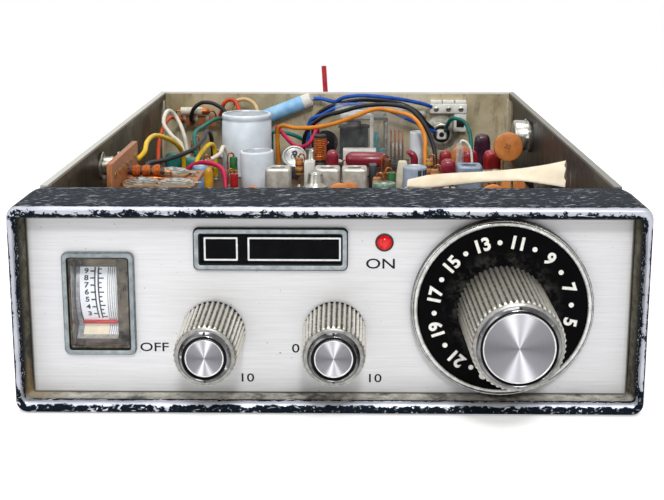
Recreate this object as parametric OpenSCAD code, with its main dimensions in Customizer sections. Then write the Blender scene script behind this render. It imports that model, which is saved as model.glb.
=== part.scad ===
// Mobile citizens-band transceiver of the early 1970s, shown without its top cover.
// X runs to the right, Y to the rear and Z up. The origin is under the middle of the case.

/* [Case] */
// Width across the front bezel
case_w = 160; // [156:1:200]
// Height of the front bezel
case_h = 54; // [54:1:70]
// Depth from the bezel rim to the back of the rear panel
case_d = 240; // [232:1:300]
// How far the side plates stand in from the bezel's sides
side_step = 2.5; // [2.2:0.1:4]
// How far the side and rear plates stand above the bezel
wall_rise = 0.3; // [0:0.1:1]
// Thickness of the case sheet
sheet_t = 1; // [0.8:0.1:1.2]
// Width of the flanges that join the case plates
flange_w = 8; // [6:0.5:9]
// Height of the hem folded inside the top edge of a side plate
hem_h = 3; // [2:0.5:4]

/* [Bezel] */
// Depth of the bezel from its rim to its back edge
bezel_d = 25.5; // [24:0.5:30]
// Radius of the bezel's outer corners
bezel_r = 3; // [2:0.5:4]
// Width of the rim at the sides
rim_side = 2.1; // [1.8:0.1:3]
// Width of the rim at the top
rim_top = 3; // [2.6:0.1:3.6]
// Width of the rim at the bottom
rim_bottom = 3.2; // [2.8:0.1:3.8]
// How much the recess narrows on each side towards the panel
recess_draft = 1.1; // [0.4:0.1:1.5]
// Depth of the panel below the rim
recess_d = 7.2; // [6:0.2:9]
// Wall of the bezel above and below its rear pocket
bezel_wall = 2.2; // [1.8:0.1:2.6]

/* [Front panel] */
// Thickness of the brushed front panel
panel_t = 1; // [0.8:0.1:1.5]
// Thickness of the steel subpanel
subpanel_t = 1.2; // [1:0.1:1.6]
// Distance of the meter's centre from the left side
meter_from_left = 21.2; // [20:0.2:24]
// Distance of the volume knob from the meter
volume_from_meter = 29.2; // [26:0.2:30]
// Distance of the squelch knob from the volume knob
squelch_from_volume = 31; // [27:0.5:33]
// Height of the two small knobs
knob_z = 20.1; // [14:0.1:21]
// Distance of the channel dial's centre from the right side
dial_from_right = 36.1; // [34:0.1:40]
// Distance of the badge's centre below the top
badge_from_top = 12.2; // [11:0.1:13]
// Distance of the badge's centre to the left of the squelch knob
badge_from_squelch = 16.2; // [14:0.1:20]
// Distance of the lamp to the right of the squelch knob
lamp_from_squelch = 12.6; // [10:0.1:14]
// Distance of the lamp below the top
lamp_from_top = 10.5; // [9:0.1:13]

/* [Knobs] */
// Radius of a small knob at its flutes
knob_r = 8; // [7:0.1:8.4]
// Height of a small knob's face in front of the panel
knob_len = 22; // [18:0.5:26]
// Radius of the insert disc in a small knob
knob_cap_r = 4.7; // [4.2:0.1:5.4]
// Flutes round a small knob
knob_flutes = 36; // [24:1:44]
// Radius of the channel knob at its flutes
channel_knob_r = 11.4; // [10:0.1:12.5]
// Height of the channel knob's face in front of the panel
channel_knob_len = 34; // [28:0.5:38]
// Radius of the insert disc in the channel knob
channel_cap_r = 8.4; // [7:0.1:9]
// Flutes round the channel knob
channel_flutes = 50; // [36:1:60]
// Depth of the flutes
flute_depth = 0.5; // [0.3:0.05:0.7]
// Thickness of the insert discs
cap_t = 1; // [0.8:0.1:1.4]
// Radius of the control shafts
shaft_r = 3; // [2.5:0.1:3.2]
// Radius of the threaded bushings
bushing_r = 4.7; // [4.4:0.1:5.2]
// Radius of the potentiometer bodies
pot_r = 8.2; // [7.5:0.1:9]
// Depth of the potentiometer bodies
pot_d = 9; // [8:0.5:11]
// Radius of the channel switch
switch_r = 15.5; // [14:0.5:17]

/* [Dial] */
// Radius of the channel dial's rim
dial_r = 23.1; // [18:0.1:23.2]
// Width of the bright rim
dial_rim_w = 1.6; // [1.2:0.1:2.4]
// Height of the dial's face in front of the panel
dial_face = 3; // [2.6:0.1:3.5]
// Gap between the back of the dial and the panel
dial_gap = 0.6; // [0.4:0.1:0.8]

/* [Meter] */
// Width of the meter's frame
meter_w = 18.5; // [17.5:0.1:19]
// Height of the meter's frame
meter_h = 27.2; // [26:0.1:28]
// Width of the frame's border
meter_border = 1.6; // [1.4:0.1:1.8]
// Height of the frame in front of the panel
meter_proud = 1.5; // [1.2:0.1:1.8]
// Radius of the drum that carries the scale
drum_r = 12.5; // [11.5:0.1:13]
// Width of the scale drum
drum_w = 10.4; // [9:0.1:10.6]
// Depth of the pivot behind the panel's face
pivot_depth = 18; // [17.5:0.1:19]
// Angle of the pointer below level at rest
pointer_rest = 32; // [25:1:36]

/* [Badge and lamp] */
// Width of the badge frame
badge_w = 39.2; // [34:0.2:40]
// Height of the badge frame
badge_h = 11; // [10:0.1:12]
// Width of the badge frame's border
badge_border = 1.7; // [1.4:0.1:2]
// Height of the badge frame in front of the panel
badge_proud = 1.4; // [1:0.1:1.8]
// Radius of the lamp lens
lamp_r = 2.1; // [1.8:0.1:2.4]

/* [Main board] */
// Thickness of the main board
board_t = 1.6; // [1.2:0.1:2]
// Distance of the board's front edge behind the rim
board_from_front = 44; // [43:1:50]
// Distance of the board's rear edge from the back of the rear panel
board_from_rear = 9.5; // [9:0.5:14]
// Gap between the board's edges and the case flanges
board_side_gap = 1; // [0.6:0.1:2]
// Radius of the board's standoffs
standoff_r = 3; // [2.5:0.1:3.5]

/* [Parts on the board] */
// Radius of the big filter capacitor
filter_r = 10; // [9:0.1:10.5]
// Height of the big filter capacitor
filter_h = 24.9; // [20:0.1:26]
// Width of a square coil can
can_w = 9.2; // [8:0.1:9.4]
// Height of a square coil can
can_h = 12.7; // [11:0.1:13]
// Width of a crystal's case
crystal_w = 10.4; // [9:0.1:10.8]
// Thickness of a crystal's case
crystal_t = 4.2; // [3.6:0.1:4.6]
// Height of a crystal's case
crystal_h = 12.4; // [11:0.1:13]
// Radius of a component lead
lead_r = 0.4; // [0.3:0.05:0.5]
// Diameter of the hook-up wire
wire_d = 1.7; // [1.4:0.1:1.8]

/* [Relay] */
// Width of the relay's cover
relay_w = 30.4; // [29:0.2:32]
// Depth of the relay's cover
relay_d = 20; // [19:0.2:21]
// Height of the relay above the board
relay_h = 25.8; // [25:0.1:27]
// Wall of the relay's clear cover
relay_wall = 1; // [0.8:0.1:1.2]
// Radius of the relay's winding
relay_coil_r = 6; // [5:0.1:6.5]

/* [Speaker] */
// Radius of the speaker's rim
speaker_r = 38; // [34:0.5:40]
// Depth of the speaker
speaker_d = 22; // [20:0.5:24]
// Radius of the speaker's magnet
magnet_r = 16; // [14:0.5:18]
// Clearance between the speaker's magnet and the main board
speaker_gap = 1.4; // [1.2:0.1:3]
// Slots in the bottom cover under the speaker
slot_count = 8; // [6:2:10]

/* [Rear fittings] */
// Radius of the aerial socket's threaded barrel
aerial_r = 7.9; // [7.5:0.05:8]
// Length of the aerial socket's barrel
aerial_len = 12; // [10:0.5:14]
// Radius of the bracket nuts' thread
bracket_thread_r = 2.1; // [1.9:0.05:2.3]
// Radius of the jacks' bores
jack_bore_r = 1.8; // [1.6:0.05:1.9]
// Diameter of the power lead's red core
lead_d = 2.2; // [2:0.1:2.4]

/* [Clearances] */
// Radial running clearance of shafts and spindles
run_gap = 0.05; // [0.02:0.01:0.08]
// Clearance between fixed pieces that drop into one another
fit_gap = 0.15; // [0.1:0.05:0.3]
// Clearance round pieces that move past each other
move_gap = 0.5; // [0.4:0.05:0.7]

/* [Hidden] */
$fn = 48;
eps = 0.01;

// Distances on the panel and the board are drawn for this case, and follow its size
layout_case = [160, 54];
layout_rear = 120;
layout_board = 26;
wide = case_w / layout_case[0];
tall = case_h / layout_case[1];
part_scale = min(1, wide);

chassis_w = case_w - 2 * side_step;
front_y = -case_d / 2;
rear_y = case_d / 2;
bezel_back = front_y + bezel_d;
panel_y = front_y + recess_d;
panel_back = panel_y + panel_t;
subpanel_back = panel_back + subpanel_t;
wall_top = case_h + wall_rise;
side_out = chassis_w / 2;
side_in = side_out - sheet_t;
flange_in = side_in - sheet_t;
pocket_half = side_out + fit_gap;
panel_half = pocket_half - fit_gap;
pocket_low = bezel_wall;
pocket_high = case_h - bezel_wall;
panel_low = pocket_low + fit_gap;
panel_high = pocket_high - fit_gap;
rear_in = rear_y - sheet_t;

meter_lift = 0.3;
meter_x = -case_w / 2 + meter_from_left * wide;
meter_z = case_h / 2 + meter_lift;
volume_x = meter_x + volume_from_meter * wide;
squelch_x = volume_x + squelch_from_volume * wide;
control_z = knob_z * tall;
dial_x = case_w / 2 - dial_from_right * wide;
dial_z = case_h / 2;
dial_out_r = dial_r * tall;
dial_face_r = dial_out_r - dial_rim_w;
badge_x = squelch_x - badge_from_squelch * wide;
badge_z = case_h - badge_from_top * tall;
lamp_x = squelch_x + lamp_from_squelch * wide;
lamp_z = case_h - lamp_from_top * tall;

// Bushing and nut lengths in front of the panel
bushing_out = 6;
nut_t = 2.2;
nut_af = 11;
nut_r = nut_af / 2 / cos(30);
knob_skirt_gap = 0.8;
skirt_bore_r = nut_r + move_gap + 0.3;
skirt_depth = bushing_out + move_gap;

// Shafts and the channel switch, measured from the panel's face
shaft_out = 16;
channel_shaft_out = 26;
shaft_end_gap = 0.3;
shaft_in = panel_t + subpanel_t + pot_d - 1.5;
power_switch_d = 7;
wafer_hole_r = 7.5;
wafer_t = 1.6;
wafer_depth = [13, 19];
index_d = 5;
rotor_end = 24;
post_r = 1.5;

// Meter pieces, measured back from the panel's face
meter_window_w = meter_w - 2 * meter_border;
meter_window_h = meter_h - 2 * meter_border;
meter_sleeve_w = meter_window_w + 1.4;
meter_sleeve_h = meter_window_h + 1.4;
meter_sleeve_d = 4;
lens_t = 0.9;
lens_ledge = 0.5;
sleeve_taper = 3;
lens_seat = 0.2;
scale_t = 0.8;
housing_wall = 0.9;
housing_d = 28;
drum_half_angle = 50;
pointer_over = 0.7;
pointer_t = 0.5;
spindle_r = 0.6;
pivot_y = panel_y + pivot_depth;

board_z = sheet_t + speaker_d + speaker_gap + board_t;
board_low = board_z - board_t;
board_front = front_y + board_from_front;
board_back = rear_y - board_from_rear;
board_half = flange_in - board_side_gap;

layout_shift = [0, rear_y - layout_rear, board_z - layout_board];

// Places of the pieces on the board, from the middle of the case
filter_at = [-36.3, 75];
can_at = [[-20.4, 20], [-2.6, 20], [7.2, 20], [49.2, 26], [-20, -30], [-6, -30], [8, -30]];
upright_at = [
  [-28.8, 34, 6.3, 16.4], [-50, 31, 3, 11], [33.2, 75, 3.3, 17.6], [28.4, 12, 4.3, 14.6],
  [27, -32, 4.5, 15.4], [-34, -42, 4, 11], [44, -28, 3.2, 10], [60, -26, 4.2, 12], [-34, -14, 3.5, 11]
];
dipped_at = [
  [-1.3, 58, 5, 3.4, 12.7], [30.4, 54, 3.6, 3, 13], [43.4, 62, 5, 4, 12], [42.3, 36, 6, 4.4, 13],
  [59.8, 79, 6.8, 4.6, 16], [53, 63, 7, 4.6, 12], [62, 63, 7, 4.6, 12], [25, 30, 4.8, 3.2, 13.4],
  [-46, 22, 3.4, 3, 12], [-9.4, 31, 4, 6, 13], [13.9, 25, 2.8, 5, 13], [-56, 56, 8, 5, 10], [-66, 72, 7, 5, 9]
];
disc_at = [[1.6, 4, 7], [5.4, 8, 6.6], [-14, -12, 8], [10, -13, 8], [38, -12, 8], [54, -8, 9], [-28, -2, 7],
  [51, 76, 8.6], [63, 8, 9]];
resistor_at = [[15, 8], [20.5, 18], [36.5, 24], [-36, 15], [36, 46], [20, 46], [-14, 48], [-39.5, 50],
  [56, 12], [-58, 16], [-24, -46], [-8, -46], [8, -46], [-48, 44], [-60, 92]];
hat_at = [[-6.6, 7, 7.6], [20, -14, 3], [-46, -4, 3], [40, 2, 3], [64, -8, 3], [-10, 84, 3]];
crystal_cols = 6;
crystal_rows = 2;
crystal_pitch = 11.4;
crystal_start = [9, -66];
big_disc_at = [66, 46];
big_disc_r = 5.6;
big_disc_t = 2.4;
big_disc_lift = 16;
glass_trimmer_at = [17.3, -2];
film_box = [13.4, 6, 11];
film_at = [9.5, 71];
capsule_r = 3.1;
capsule_len = 16.6;
capsule_at = [12, 59];
capsule_lift = 8.6;
coil_at = [-6.4, 69];
lying_at = [-16.6, 66];
relay_at = [14.3, 92];

// Edge board and filter board at the left
edge_board_x = -69;
edge_board_t = 1.8;
edge_board_y = [-48, -3];
edge_board_h = 25.8;
filter_board_y = [-42, -6];
filter_board_w = 23;
filter_board_lift = 14.4;
filter_post_at = [20, -24];
trimmer_size = [12, 10, 2];
trimmer_at = [[-54, -15], [-61, -33], [-50, -34]];
leaf_trimmer_at = [60, 34];

// Windings: radius of the former, of the wire and of the turns, then pitch and turns
choke_at = [-66.2, -22];
choke_lift = 18.8;
choke_len = 10;
former_r = 1.2;
coil_former_r = 1.9;
turn_wire_r = 0.32;
turn_sink = 0.06;
turn_pitch = 1.15;
choke_turns = 8;
coil_turns = 6;
ring_steps = 12;

// Screws, nuts and jacks
screw_r = 1.4;
screw_head_r = 2.7;
screw_head_h = 1.6;
screw_tail = 1.5;
bracket_shank_r = 3.4;
bracket_flange_r = 4.6;
bracket_len = 6;
bracket_lift = 9;
bracket_y = 12;
bracket_z = board_z + bracket_lift;
screw_y = [-80, 0, 100];
screw_z = 6;
jack_r = 3.2;
jack_flange_r = jack_r + 1.4;
jack_flange_t = 1;
jack_nose = 2;
jack_nut_t = 1.6;
jack_in = 6;
jack_hem_gap = 0.5;
jack_y = -20;
jack_z = wall_top - hem_h - jack_flange_r - jack_hem_gap;
rear_jack_in = 7;
rear_jack_x = [-52 * wide, -36 * wide];
rear_jack_z = 24;

// Fittings on the rear panel, by their X and their height above the board
aerial_lift = 10;
block_lift = 22.2;
grommet_lift = 6;
strip_lift = 16;
axial_lift = 20.6;
blue_lift = 20.9;
power_lift = 18;
aerial_at = [46 * wide, board_z + aerial_lift];
block_at = [48.8 * wide, board_z + block_lift];
block_size = [16.2, 4, 5.6];
grommet_r = 4;
grommet_at = [-5 * wide, board_z + grommet_lift];
strip_at = [-57 * wide, board_z + strip_lift];
tag_strip = [26, 1.6, 5];
tag_post = 3;
axial_at = [-62 * wide, board_z + axial_lift];
blue_at = [-23 * wide, board_z + blue_lift];
blue_len = 25.6;
blue_r = 3.2;
blue_tilt = 21;
power_at = [62, board_z + power_lift];

// Board posts, and the speaker with its slots
standoff_at = [[-66, -66], [66, -72], [-66, 62], [67, 98]];
slot_w = 3.2;
slot_pitch = 6.4;
slot_margin = 6;
speaker_y = 12;
cone_neck_r = 9;
basket_t = 0.9;
magnet_h = 8;
voice_gap = 0.8;
speaker_rim_w = 4;

// Relay pieces, measured from the relay's centre and the board's face
relay_base_t = 2;
relay_coil_x = -7;
relay_coil_h = 14;
yoke_x = 5.6;
yoke_t = 1.4;
pole_gap = 0.9;
armature_t = 1.2;
armature_z = board_z + relay_base_t + yoke_t + relay_coil_h + 2 + pole_gap;
armature_pin_r = 0.8;

// Insulating strip: a flat fibre sleeve with a torn, wider end, held up by two stiff leads
sleeve_from = [24, -33, 42];
sleeve_turn = -25;
sleeve_rise = 10;
sleeve_len = 48;
sleeve_w = 5;
sleeve_end_w = 8;
sleeve_t = 1.6;
sleeve_leads = [14, 34];

// Routes of the hook-up wires, from one soldered end to the other
wire_routes = [
  [[-67.3, -5, 45.5], [-65.4, 0, 47.5], [-66, 10, 49.5], [-65, 24, 49.5], [-61, 38, 45], [-59, 48, 39],
    [-59, 52, 30], [-59, 53, 26]],
  [[-67.3, -4.4, 41], [-65.2, 0, 41.5], [-65.5, 8, 42], [-61, 22, 41], [-54, 36, 42], [-51, 50, 44],
    [-51, 60, 45.5], [-50, 68, 42], [-49.5, 72, 26]],
  [[-60, 62, 26], [-61, 62, 39], [-66, 67, 43], [-70, 74, 47], [-69, 80, 51], [-66, 83, 48], [-62, 78, 40],
    [-60, 76, 26]],
  [[-67, 114.6, 42], [-71, 104, 45], [-72, 90, 44], [-73, 80, 38], [-72, 70, 32], [-72, 68, 26]],
  [[-54, 63, 26], [-56, 64, 38], [-57, 72, 43], [-55, 84, 44], [-52, 96, 45], [-50, 108, 44],
    [-50, 114.6, 42]],
  [[-63, 114.6, 41.5], [-63.5, 110, 43.5], [-62, 108, 48], [-58, 107.5, 51], [-52, 107, 50], [-47, 104, 45],
    [-44.5, 98, 26]],
  [[-53, 42, 26], [-53, 43.5, 36], [-51, 50, 40], [-49, 57, 41], [-48, 61, 38], [-48, 63, 26]],
  [[-41, 58, 26], [-42, 58, 36], [-44, 56, 40], [-45, 52, 38], [-49, 48, 36], [-54, 49, 34], [-56, 50, 26]],
  [[-57, 38, 26], [-56, 38, 34], [-51, 37.5, 37], [-45, 34, 37], [-41, 28, 35], [-40, 24, 26]],
  [[-24, 92, 26], [-25, 92, 42], [-22, 88, 40], [-17, 84, 36], [-12, 80, 37], [-9, 82, 41], [-8, 90, 43],
    [-8, 96, 26]],
  [[-24, 88, 26], [-24, 85, 43], [-16, 80, 44], [-8, 76, 45], [0, 74, 47], [8, 73, 50], [16, 72, 53],
    [24, 71, 52], [31, 68, 50], [35, 63, 44], [35, 57, 37], [35, 52, 26]],
  [[-10.6, 115.7, 51.7], [-6.5, 114.6, 51.8], [-1, 111.5, 51], [3, 109.5, 53], [10, 108.5, 54], [18, 109, 53.5],
    [28, 111, 52], [37, 113, 50], [41.6, 115.2, 48.2]],
  [[-12, 108, 26], [-12, 108, 42], [-6, 106.5, 46], [2, 106, 50], [10, 106, 50.5], [20, 108, 48.5],
    [34, 112, 42], [44, 115.2, 37]],
  [[-14, 90, 26], [-13, 88, 40], [-6, 82, 48], [2, 78.5, 51], [10, 76, 53.5], [18, 75, 54.5], [26, 73.5, 54],
    [31, 71.5, 52], [36, 67, 46], [39, 62, 38], [39, 58, 30], [39, 57, 26]],
  [[47.6, 115.2, 37.6], [48, 110, 41], [50, 106, 44.5], [55, 103, 43], [57, 98, 37], [57, 95, 26]]
];

// Route of the red power lead from its grommet to its cut end
lead_route = [[-5, 116, 32], [-5, 120, 32], [-5, 124, 32], [-5, 127, 33], [-5, 129, 36], [-5, 129, 41],
  [-5, 128, 48], [-5.5, 127, 57], [-6, 127, 65]];

// Extrudes an outline drawn in the front view from depth y0 to depth y1
module slab(y0, y1) {
  translate([0, y1, 0])
    rotate([90, 0, 0])
      linear_extrude(y1 - y0)
        children();
}

// Turns a piece so that its own Z points out of the front panel at (x, z)
module on_panel(x, z) {
  translate([x, panel_y, z])
    rotate([90, 0, 0])
      children();
}

// Turns a piece so that its own Z points out of the rear panel's inside face
module on_rear(x, z) {
  translate([x, rear_in, z])
    rotate([-90, 0, 0])
      children();
}

// Moves a piece to the board's face at the point p of the layout
module at_layout(p) {
  translate([p[0] * wide, p[1] + layout_shift[1], board_z])
    children();
}

// Stands a part on the board there; a narrower case takes smaller parts
module on_board(p) {
  at_layout(p)
    scale(part_scale)
      children();
}

// Point of the layout's wiring, carried with the case
function wired(p) = [p[0] * wide, p[1], p[2]] + layout_shift;

// Round bar along X
module bar_x(x0, x1, r) {
  translate([x0, 0, 0])
    rotate([0, 90, 0])
      cylinder(h = x1 - x0, r = r);
}

// Box given by its lowest and highest corners
module span(a, b) {
  translate(a)
    cube(b - a);
}

// Rectangle with rounded corners, centred
module round_rect(w, h, r) {
  square([w - 2 * r, h], center = true);
  square([w, h - 2 * r], center = true);
  for (sx = [-1, 1], sy = [-1, 1])
    translate([sx * (w / 2 - r), sy * (h / 2 - r)])
      circle(r);
}

// Rectangular opening that changes from w0 x h0 at depth y0 to w1 x h1 at depth y1
module funnel(y0, y1, w0, w1, h0, h1) {
  reach = w0 + w1 + h0 + h1;
  intersection() {
    translate([0, 0, -reach])
      linear_extrude(2 * reach)
        polygon([[-w0 / 2, y0], [w0 / 2, y0], [w1 / 2, y1], [-w1 / 2, y1]]);
    rotate([90, 0, 90])
      translate([0, 0, -reach])
        linear_extrude(2 * reach)
          polygon([[y0, -h0 / 2], [y1, -h1 / 2], [y1, h1 / 2], [y0, h0 / 2]]);
  }
}

// Outline of a fluted bar
function fluted(r, n, steps = 6) =
  [for (i = [0 : n * steps - 1])
    let (a = 360 * i / (n * steps), cut = flute_depth * (0.5 - 0.5 * cos(a * n)))
      (r - cut) * [cos(a), sin(a)]];

// Smooth curve through the points of a route
function curve_at(p, i, t) =
  let (a = p[max(i - 1, 0)], b = p[i], c = p[i + 1], d = p[min(i + 2, len(p) - 1)])
    0.5 * (2 * b + (c - a) * t + (2 * a - 5 * b + 4 * c - d) * t * t + (3 * b - a - 3 * c + d) * t * t * t);
function smooth(p, steps) =
  concat([for (i = [0 : len(p) - 2], s = [0 : steps - 1]) curve_at(p, i, s / steps)], [p[len(p) - 1]]);
function unit(v) = v / norm(v);
function tangent(p, i) = unit(p[min(i + 1, len(p) - 1)] - p[max(i - 1, 0)]);
// Frames carried along a path without twist
function carried(p, i, n) =
  let (t = tangent(p, i), side = unit(n - (n * t) * t))
    i == len(p) - 1 ? [side] : concat([side], carried(p, i + 1, side));

// Closed tube of radius r along the points p
module tube(p, r, sides = 8) {
  start = cross(tangent(p, 0), abs(tangent(p, 0)[2]) > 0.9 ? [1, 0, 0] : [0, 0, 1]);
  frames = carried(p, 0, unit(start));
  rings = [for (i = [0 : len(p) - 1], k = [0 : sides - 1])
    let (t = tangent(p, i), a = 360 * k / sides)
      p[i] + r * (cos(a) * frames[i] + sin(a) * cross(t, frames[i]))];
  walls = [for (i = [0 : len(p) - 2], k = [0 : sides - 1])
    let (m = (k + 1) % sides, a = i * sides, b = a + sides)
      each [[a + k, b + k, a + m], [a + m, b + k, b + m]]];
  last = (len(p) - 1) * sides;
  ends = [for (k = [1 : sides - 2]) each [[0, k, k + 1], [last, last + k + 1, last + k]]];
  polyhedron(points = rings, faces = concat(walls, ends));
}

module front_bezel() {
  color("#23262c")
    difference() {
      slab(front_y, bezel_back)
        translate([0, case_h / 2])
          round_rect(case_w, case_h, bezel_r);
      translate([0, 0, (rim_bottom + case_h - rim_top) / 2])
        funnel(front_y - eps, panel_y + eps, case_w - 2 * rim_side, case_w - 2 * (rim_side + recess_draft),
          case_h - rim_top - rim_bottom, case_h - rim_top - rim_bottom);
      span([-pocket_half, panel_y, pocket_low], [pocket_half, bezel_back + 1, pocket_high]);
    }
}

// Holes for the controls, shared by the panel and the subpanel
module control_holes() {
  for (x = [volume_x, squelch_x])
    translate([x, control_z])
      circle(bushing_r + fit_gap);
  translate([dial_x, dial_z])
    circle(bushing_r + fit_gap);
  translate([lamp_x, lamp_z])
    circle(lamp_r + fit_gap);
  translate([meter_x, meter_z])
    square([meter_sleeve_w + 2 * fit_gap, meter_sleeve_h + 2 * fit_gap], center = true);
}

module front_panel() {
  color("#d9d9d6")
    slab(panel_y, panel_back)
      difference() {
        translate([-panel_half, panel_low])
          square([2 * panel_half, panel_high - panel_low]);
        control_holes();
      }
}

module front_subpanel() {
  flange_back = subpanel_back + flange_w;
  color("#b6b39c") {
    slab(panel_back, subpanel_back)
      difference() {
        translate([-side_in, panel_low])
          square([2 * side_in, panel_high - panel_low]);
        control_holes();
      }
    for (s = [-1, 1])
      translate([s * (side_in + flange_in) / 2, (panel_back + flange_back) / 2, (panel_low + panel_high) / 2])
        cube([sheet_t, flange_back - panel_back, panel_high - panel_low - 2 * fit_gap], center = true);
  }
}

// Side plate on the right; its tongue goes into the bezel
module side_plate() {
  tongue_front = panel_back;
  difference() {
    union() {
      span([side_in, bezel_back + fit_gap, sheet_t], [side_out, rear_y, wall_top]);
      span([side_in, tongue_front, panel_low], [side_out, bezel_back + fit_gap + eps, panel_high]);
      span([flange_in, bezel_back + fit_gap, wall_top - hem_h], [side_in + eps, rear_in - sheet_t, wall_top]);
    }
    translate([0, bracket_y, bracket_z])
      bar_x(side_in - 1, side_out + 1, bracket_shank_r + fit_gap);
    for (y = screw_y)
      translate([0, y, screw_z])
        bar_x(side_in - 1, side_out + 1, screw_r + fit_gap);
  }
}

module left_side_plate() {
  color("#a7a284")
    difference() {
      mirror([1, 0, 0])
        side_plate();
      translate([0, jack_y + layout_shift[1], jack_z])
        bar_x(-side_out - 1, -flange_in + 1, jack_r + fit_gap);
    }
}

module right_side_plate() {
  color("#a7a284")
    side_plate();
}

module rear_panel() {
  flange_low = sheet_t + 2 * flange_w;
  flange_high = wall_top - hem_h;
  flange_mid = (flange_low + flange_high) / 2;
  color("#a7a284")
    difference() {
      union() {
        span([-side_in, rear_in, sheet_t], [side_in, rear_y, wall_top]);
        for (s = [-1, 1])
          translate([s * (side_in + flange_in) / 2, rear_in - flange_w / 2 + eps, flange_mid])
            cube([sheet_t, flange_w, flange_high - flange_low - 2 * fit_gap], center = true);
      }
      on_rear(aerial_at[0], aerial_at[1])
        translate([0, 0, -1])
          cylinder(h = sheet_t + 2, r = aerial_r + fit_gap);
      for (x = rear_jack_x)
        on_rear(x, rear_jack_z)
          translate([0, 0, -1])
            cylinder(h = sheet_t + 2, r = jack_r + fit_gap);
      on_rear(grommet_at[0], grommet_at[1])
        translate([0, 0, -1])
          cylinder(h = sheet_t + 2, r = grommet_r);
    }
}

module bottom_cover() {
  flange_h = flange_w + 2;
  flange_mid = (bezel_back + rear_in) / 2;
  color("#3a3b3a")
    difference() {
      union() {
        span([-side_out, bezel_back + fit_gap, 0], [side_out, rear_y, sheet_t]);
        for (s = [-1, 1])
          translate([s * (side_in + flange_in) / 2, flange_mid, sheet_t + flange_h / 2 - eps])
            cube([sheet_t, case_d - bezel_d - 4 * flange_w, flange_h], center = true);
      }
      for (y = screw_y)
        translate([0, y, screw_z])
          bar_x(-side_out, side_out, screw_r + fit_gap);
      for (i = [0 : slot_count - 1])
        let (x = (i - (slot_count - 1) / 2) * slot_pitch, reach = speaker_r - slot_margin)
          translate([x, speaker_y, -1])
            linear_extrude(sheet_t + 2)
              round_rect(slot_w, 2 * sqrt(reach * reach - x * x), slot_w / 2 - eps);
    }
}

// Cheese-head screw along X through a side plate and the cover's flange
module case_screw() {
  bar_x(side_out, side_out + screw_head_h, screw_head_r);
  bar_x(flange_in - screw_tail, side_out + eps, screw_r);
}

module case_screws() {
  color("#8f8f8c")
    for (y = screw_y)
      translate([0, y, screw_z]) {
        case_screw();
        mirror([1, 0, 0])
          case_screw();
      }
}

// Clinch nut that takes the mounting bracket's thumb screw
module bracket_nut() {
  difference() {
    union() {
      bar_x(side_in - 1, side_out, bracket_shank_r);
      bar_x(side_out - bracket_len, side_in, bracket_flange_r);
    }
    bar_x(side_out - bracket_len - 1, side_out + 1, bracket_thread_r);
  }
}

module bracket_nuts() {
  color("#8f8f8c")
    translate([0, bracket_y, bracket_z]) {
      bracket_nut();
      mirror([1, 0, 0])
        bracket_nut();
    }
}

module meter_bezel() {
  color("#5f6a70")
    translate([meter_x, 0, meter_z])
      difference() {
        union() {
          slab(panel_y - meter_proud, panel_y)
            round_rect(meter_w, meter_h, meter_border);
          slab(panel_y - eps, panel_y + meter_sleeve_d)
            square([meter_sleeve_w, meter_sleeve_h], center = true);
        }
        slab(panel_y - meter_proud - 1, panel_y + lens_seat)
          square([meter_window_w, meter_window_h], center = true);
        funnel(panel_y + lens_seat - eps, panel_y + meter_sleeve_d + eps,
          meter_window_w - 2 * lens_ledge, drum_w + sleeve_taper,
          meter_window_h - 2 * lens_ledge, meter_window_h - sleeve_taper);
      }
}

module meter_lens() {
  color([0.9, 0.95, 1, 0.35])
    translate([meter_x, 0, meter_z])
      slab(panel_y + lens_seat - lens_t, panel_y + lens_seat)
        square([meter_window_w - 2 * fit_gap, meter_window_h - 2 * fit_gap], center = true);
}

module meter_housing() {
  front = panel_y + meter_sleeve_d;
  color("#e9e7dc")
    translate([meter_x, 0, meter_z])
      difference() {
        slab(front, front + housing_d)
          square([meter_sleeve_w, meter_sleeve_h], center = true);
        slab(front - 1, front + housing_d - housing_wall)
          square([meter_sleeve_w - 2 * housing_wall, meter_sleeve_h - 2 * housing_wall], center = true);
      }
}

module meter_scale() {
  chord = drum_r * cos(drum_half_angle);
  rise = drum_r * sin(drum_half_angle);
  wall = meter_sleeve_h / 2 - housing_wall;
  color("#f3f2ea")
    translate([meter_x, pivot_y, meter_z]) {
      intersection() {
        difference() {
          bar_x(-drum_w / 2, drum_w / 2, drum_r);
          bar_x(-drum_w, drum_w, drum_r - scale_t);
        }
        span([-drum_w, -drum_r - 1, -drum_r], [drum_w, -chord, drum_r]);
      }
      for (s = [-1, 1])
        translate([0, -chord - scale_t / 2, s * (rise - 0.5 + wall) / 2])
          cube([drum_w, scale_t, wall - rise + 0.5], center = true);
    }
}

module meter_movement() {
  back = panel_y + meter_sleeve_d + housing_d - housing_wall;
  core_r = 7;
  core_w = 8;
  color("#77736c")
    translate([meter_x, pivot_y, meter_z])
      difference() {
        union() {
          bar_x(-core_w / 2, core_w / 2, core_r);
          span([-core_w / 2, 0, -core_r / 2], [core_w / 2, back - pivot_y, core_r / 2]);
        }
        bar_x(-core_w, core_w, spindle_r + run_gap);
      }
}

module meter_pointer() {
  arm_x = drum_w / 2 + move_gap;
  reach = drum_r + pointer_over;
  color("#c22a2a")
    translate([meter_x, pivot_y, meter_z])
      rotate([pointer_rest, 0, 0]) {
        bar_x(-4.6, arm_x + pointer_t, spindle_r);
        span([arm_x, -reach - pointer_t, -0.5], [arm_x + pointer_t, 0.8, 0.5]);
        span([-drum_w / 2 + 0.6, -reach - pointer_t, -0.5], [arm_x + eps, -reach, 0.5]);
      }
}

module badge_frame() {
  color("#8d9499")
    translate([badge_x, 0, badge_z])
      slab(panel_y - badge_proud, panel_y)
        difference() {
          round_rect(badge_w, badge_h, badge_border);
          square([badge_w - 2 * badge_border, badge_h - 2 * badge_border], center = true);
        }
}

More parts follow.
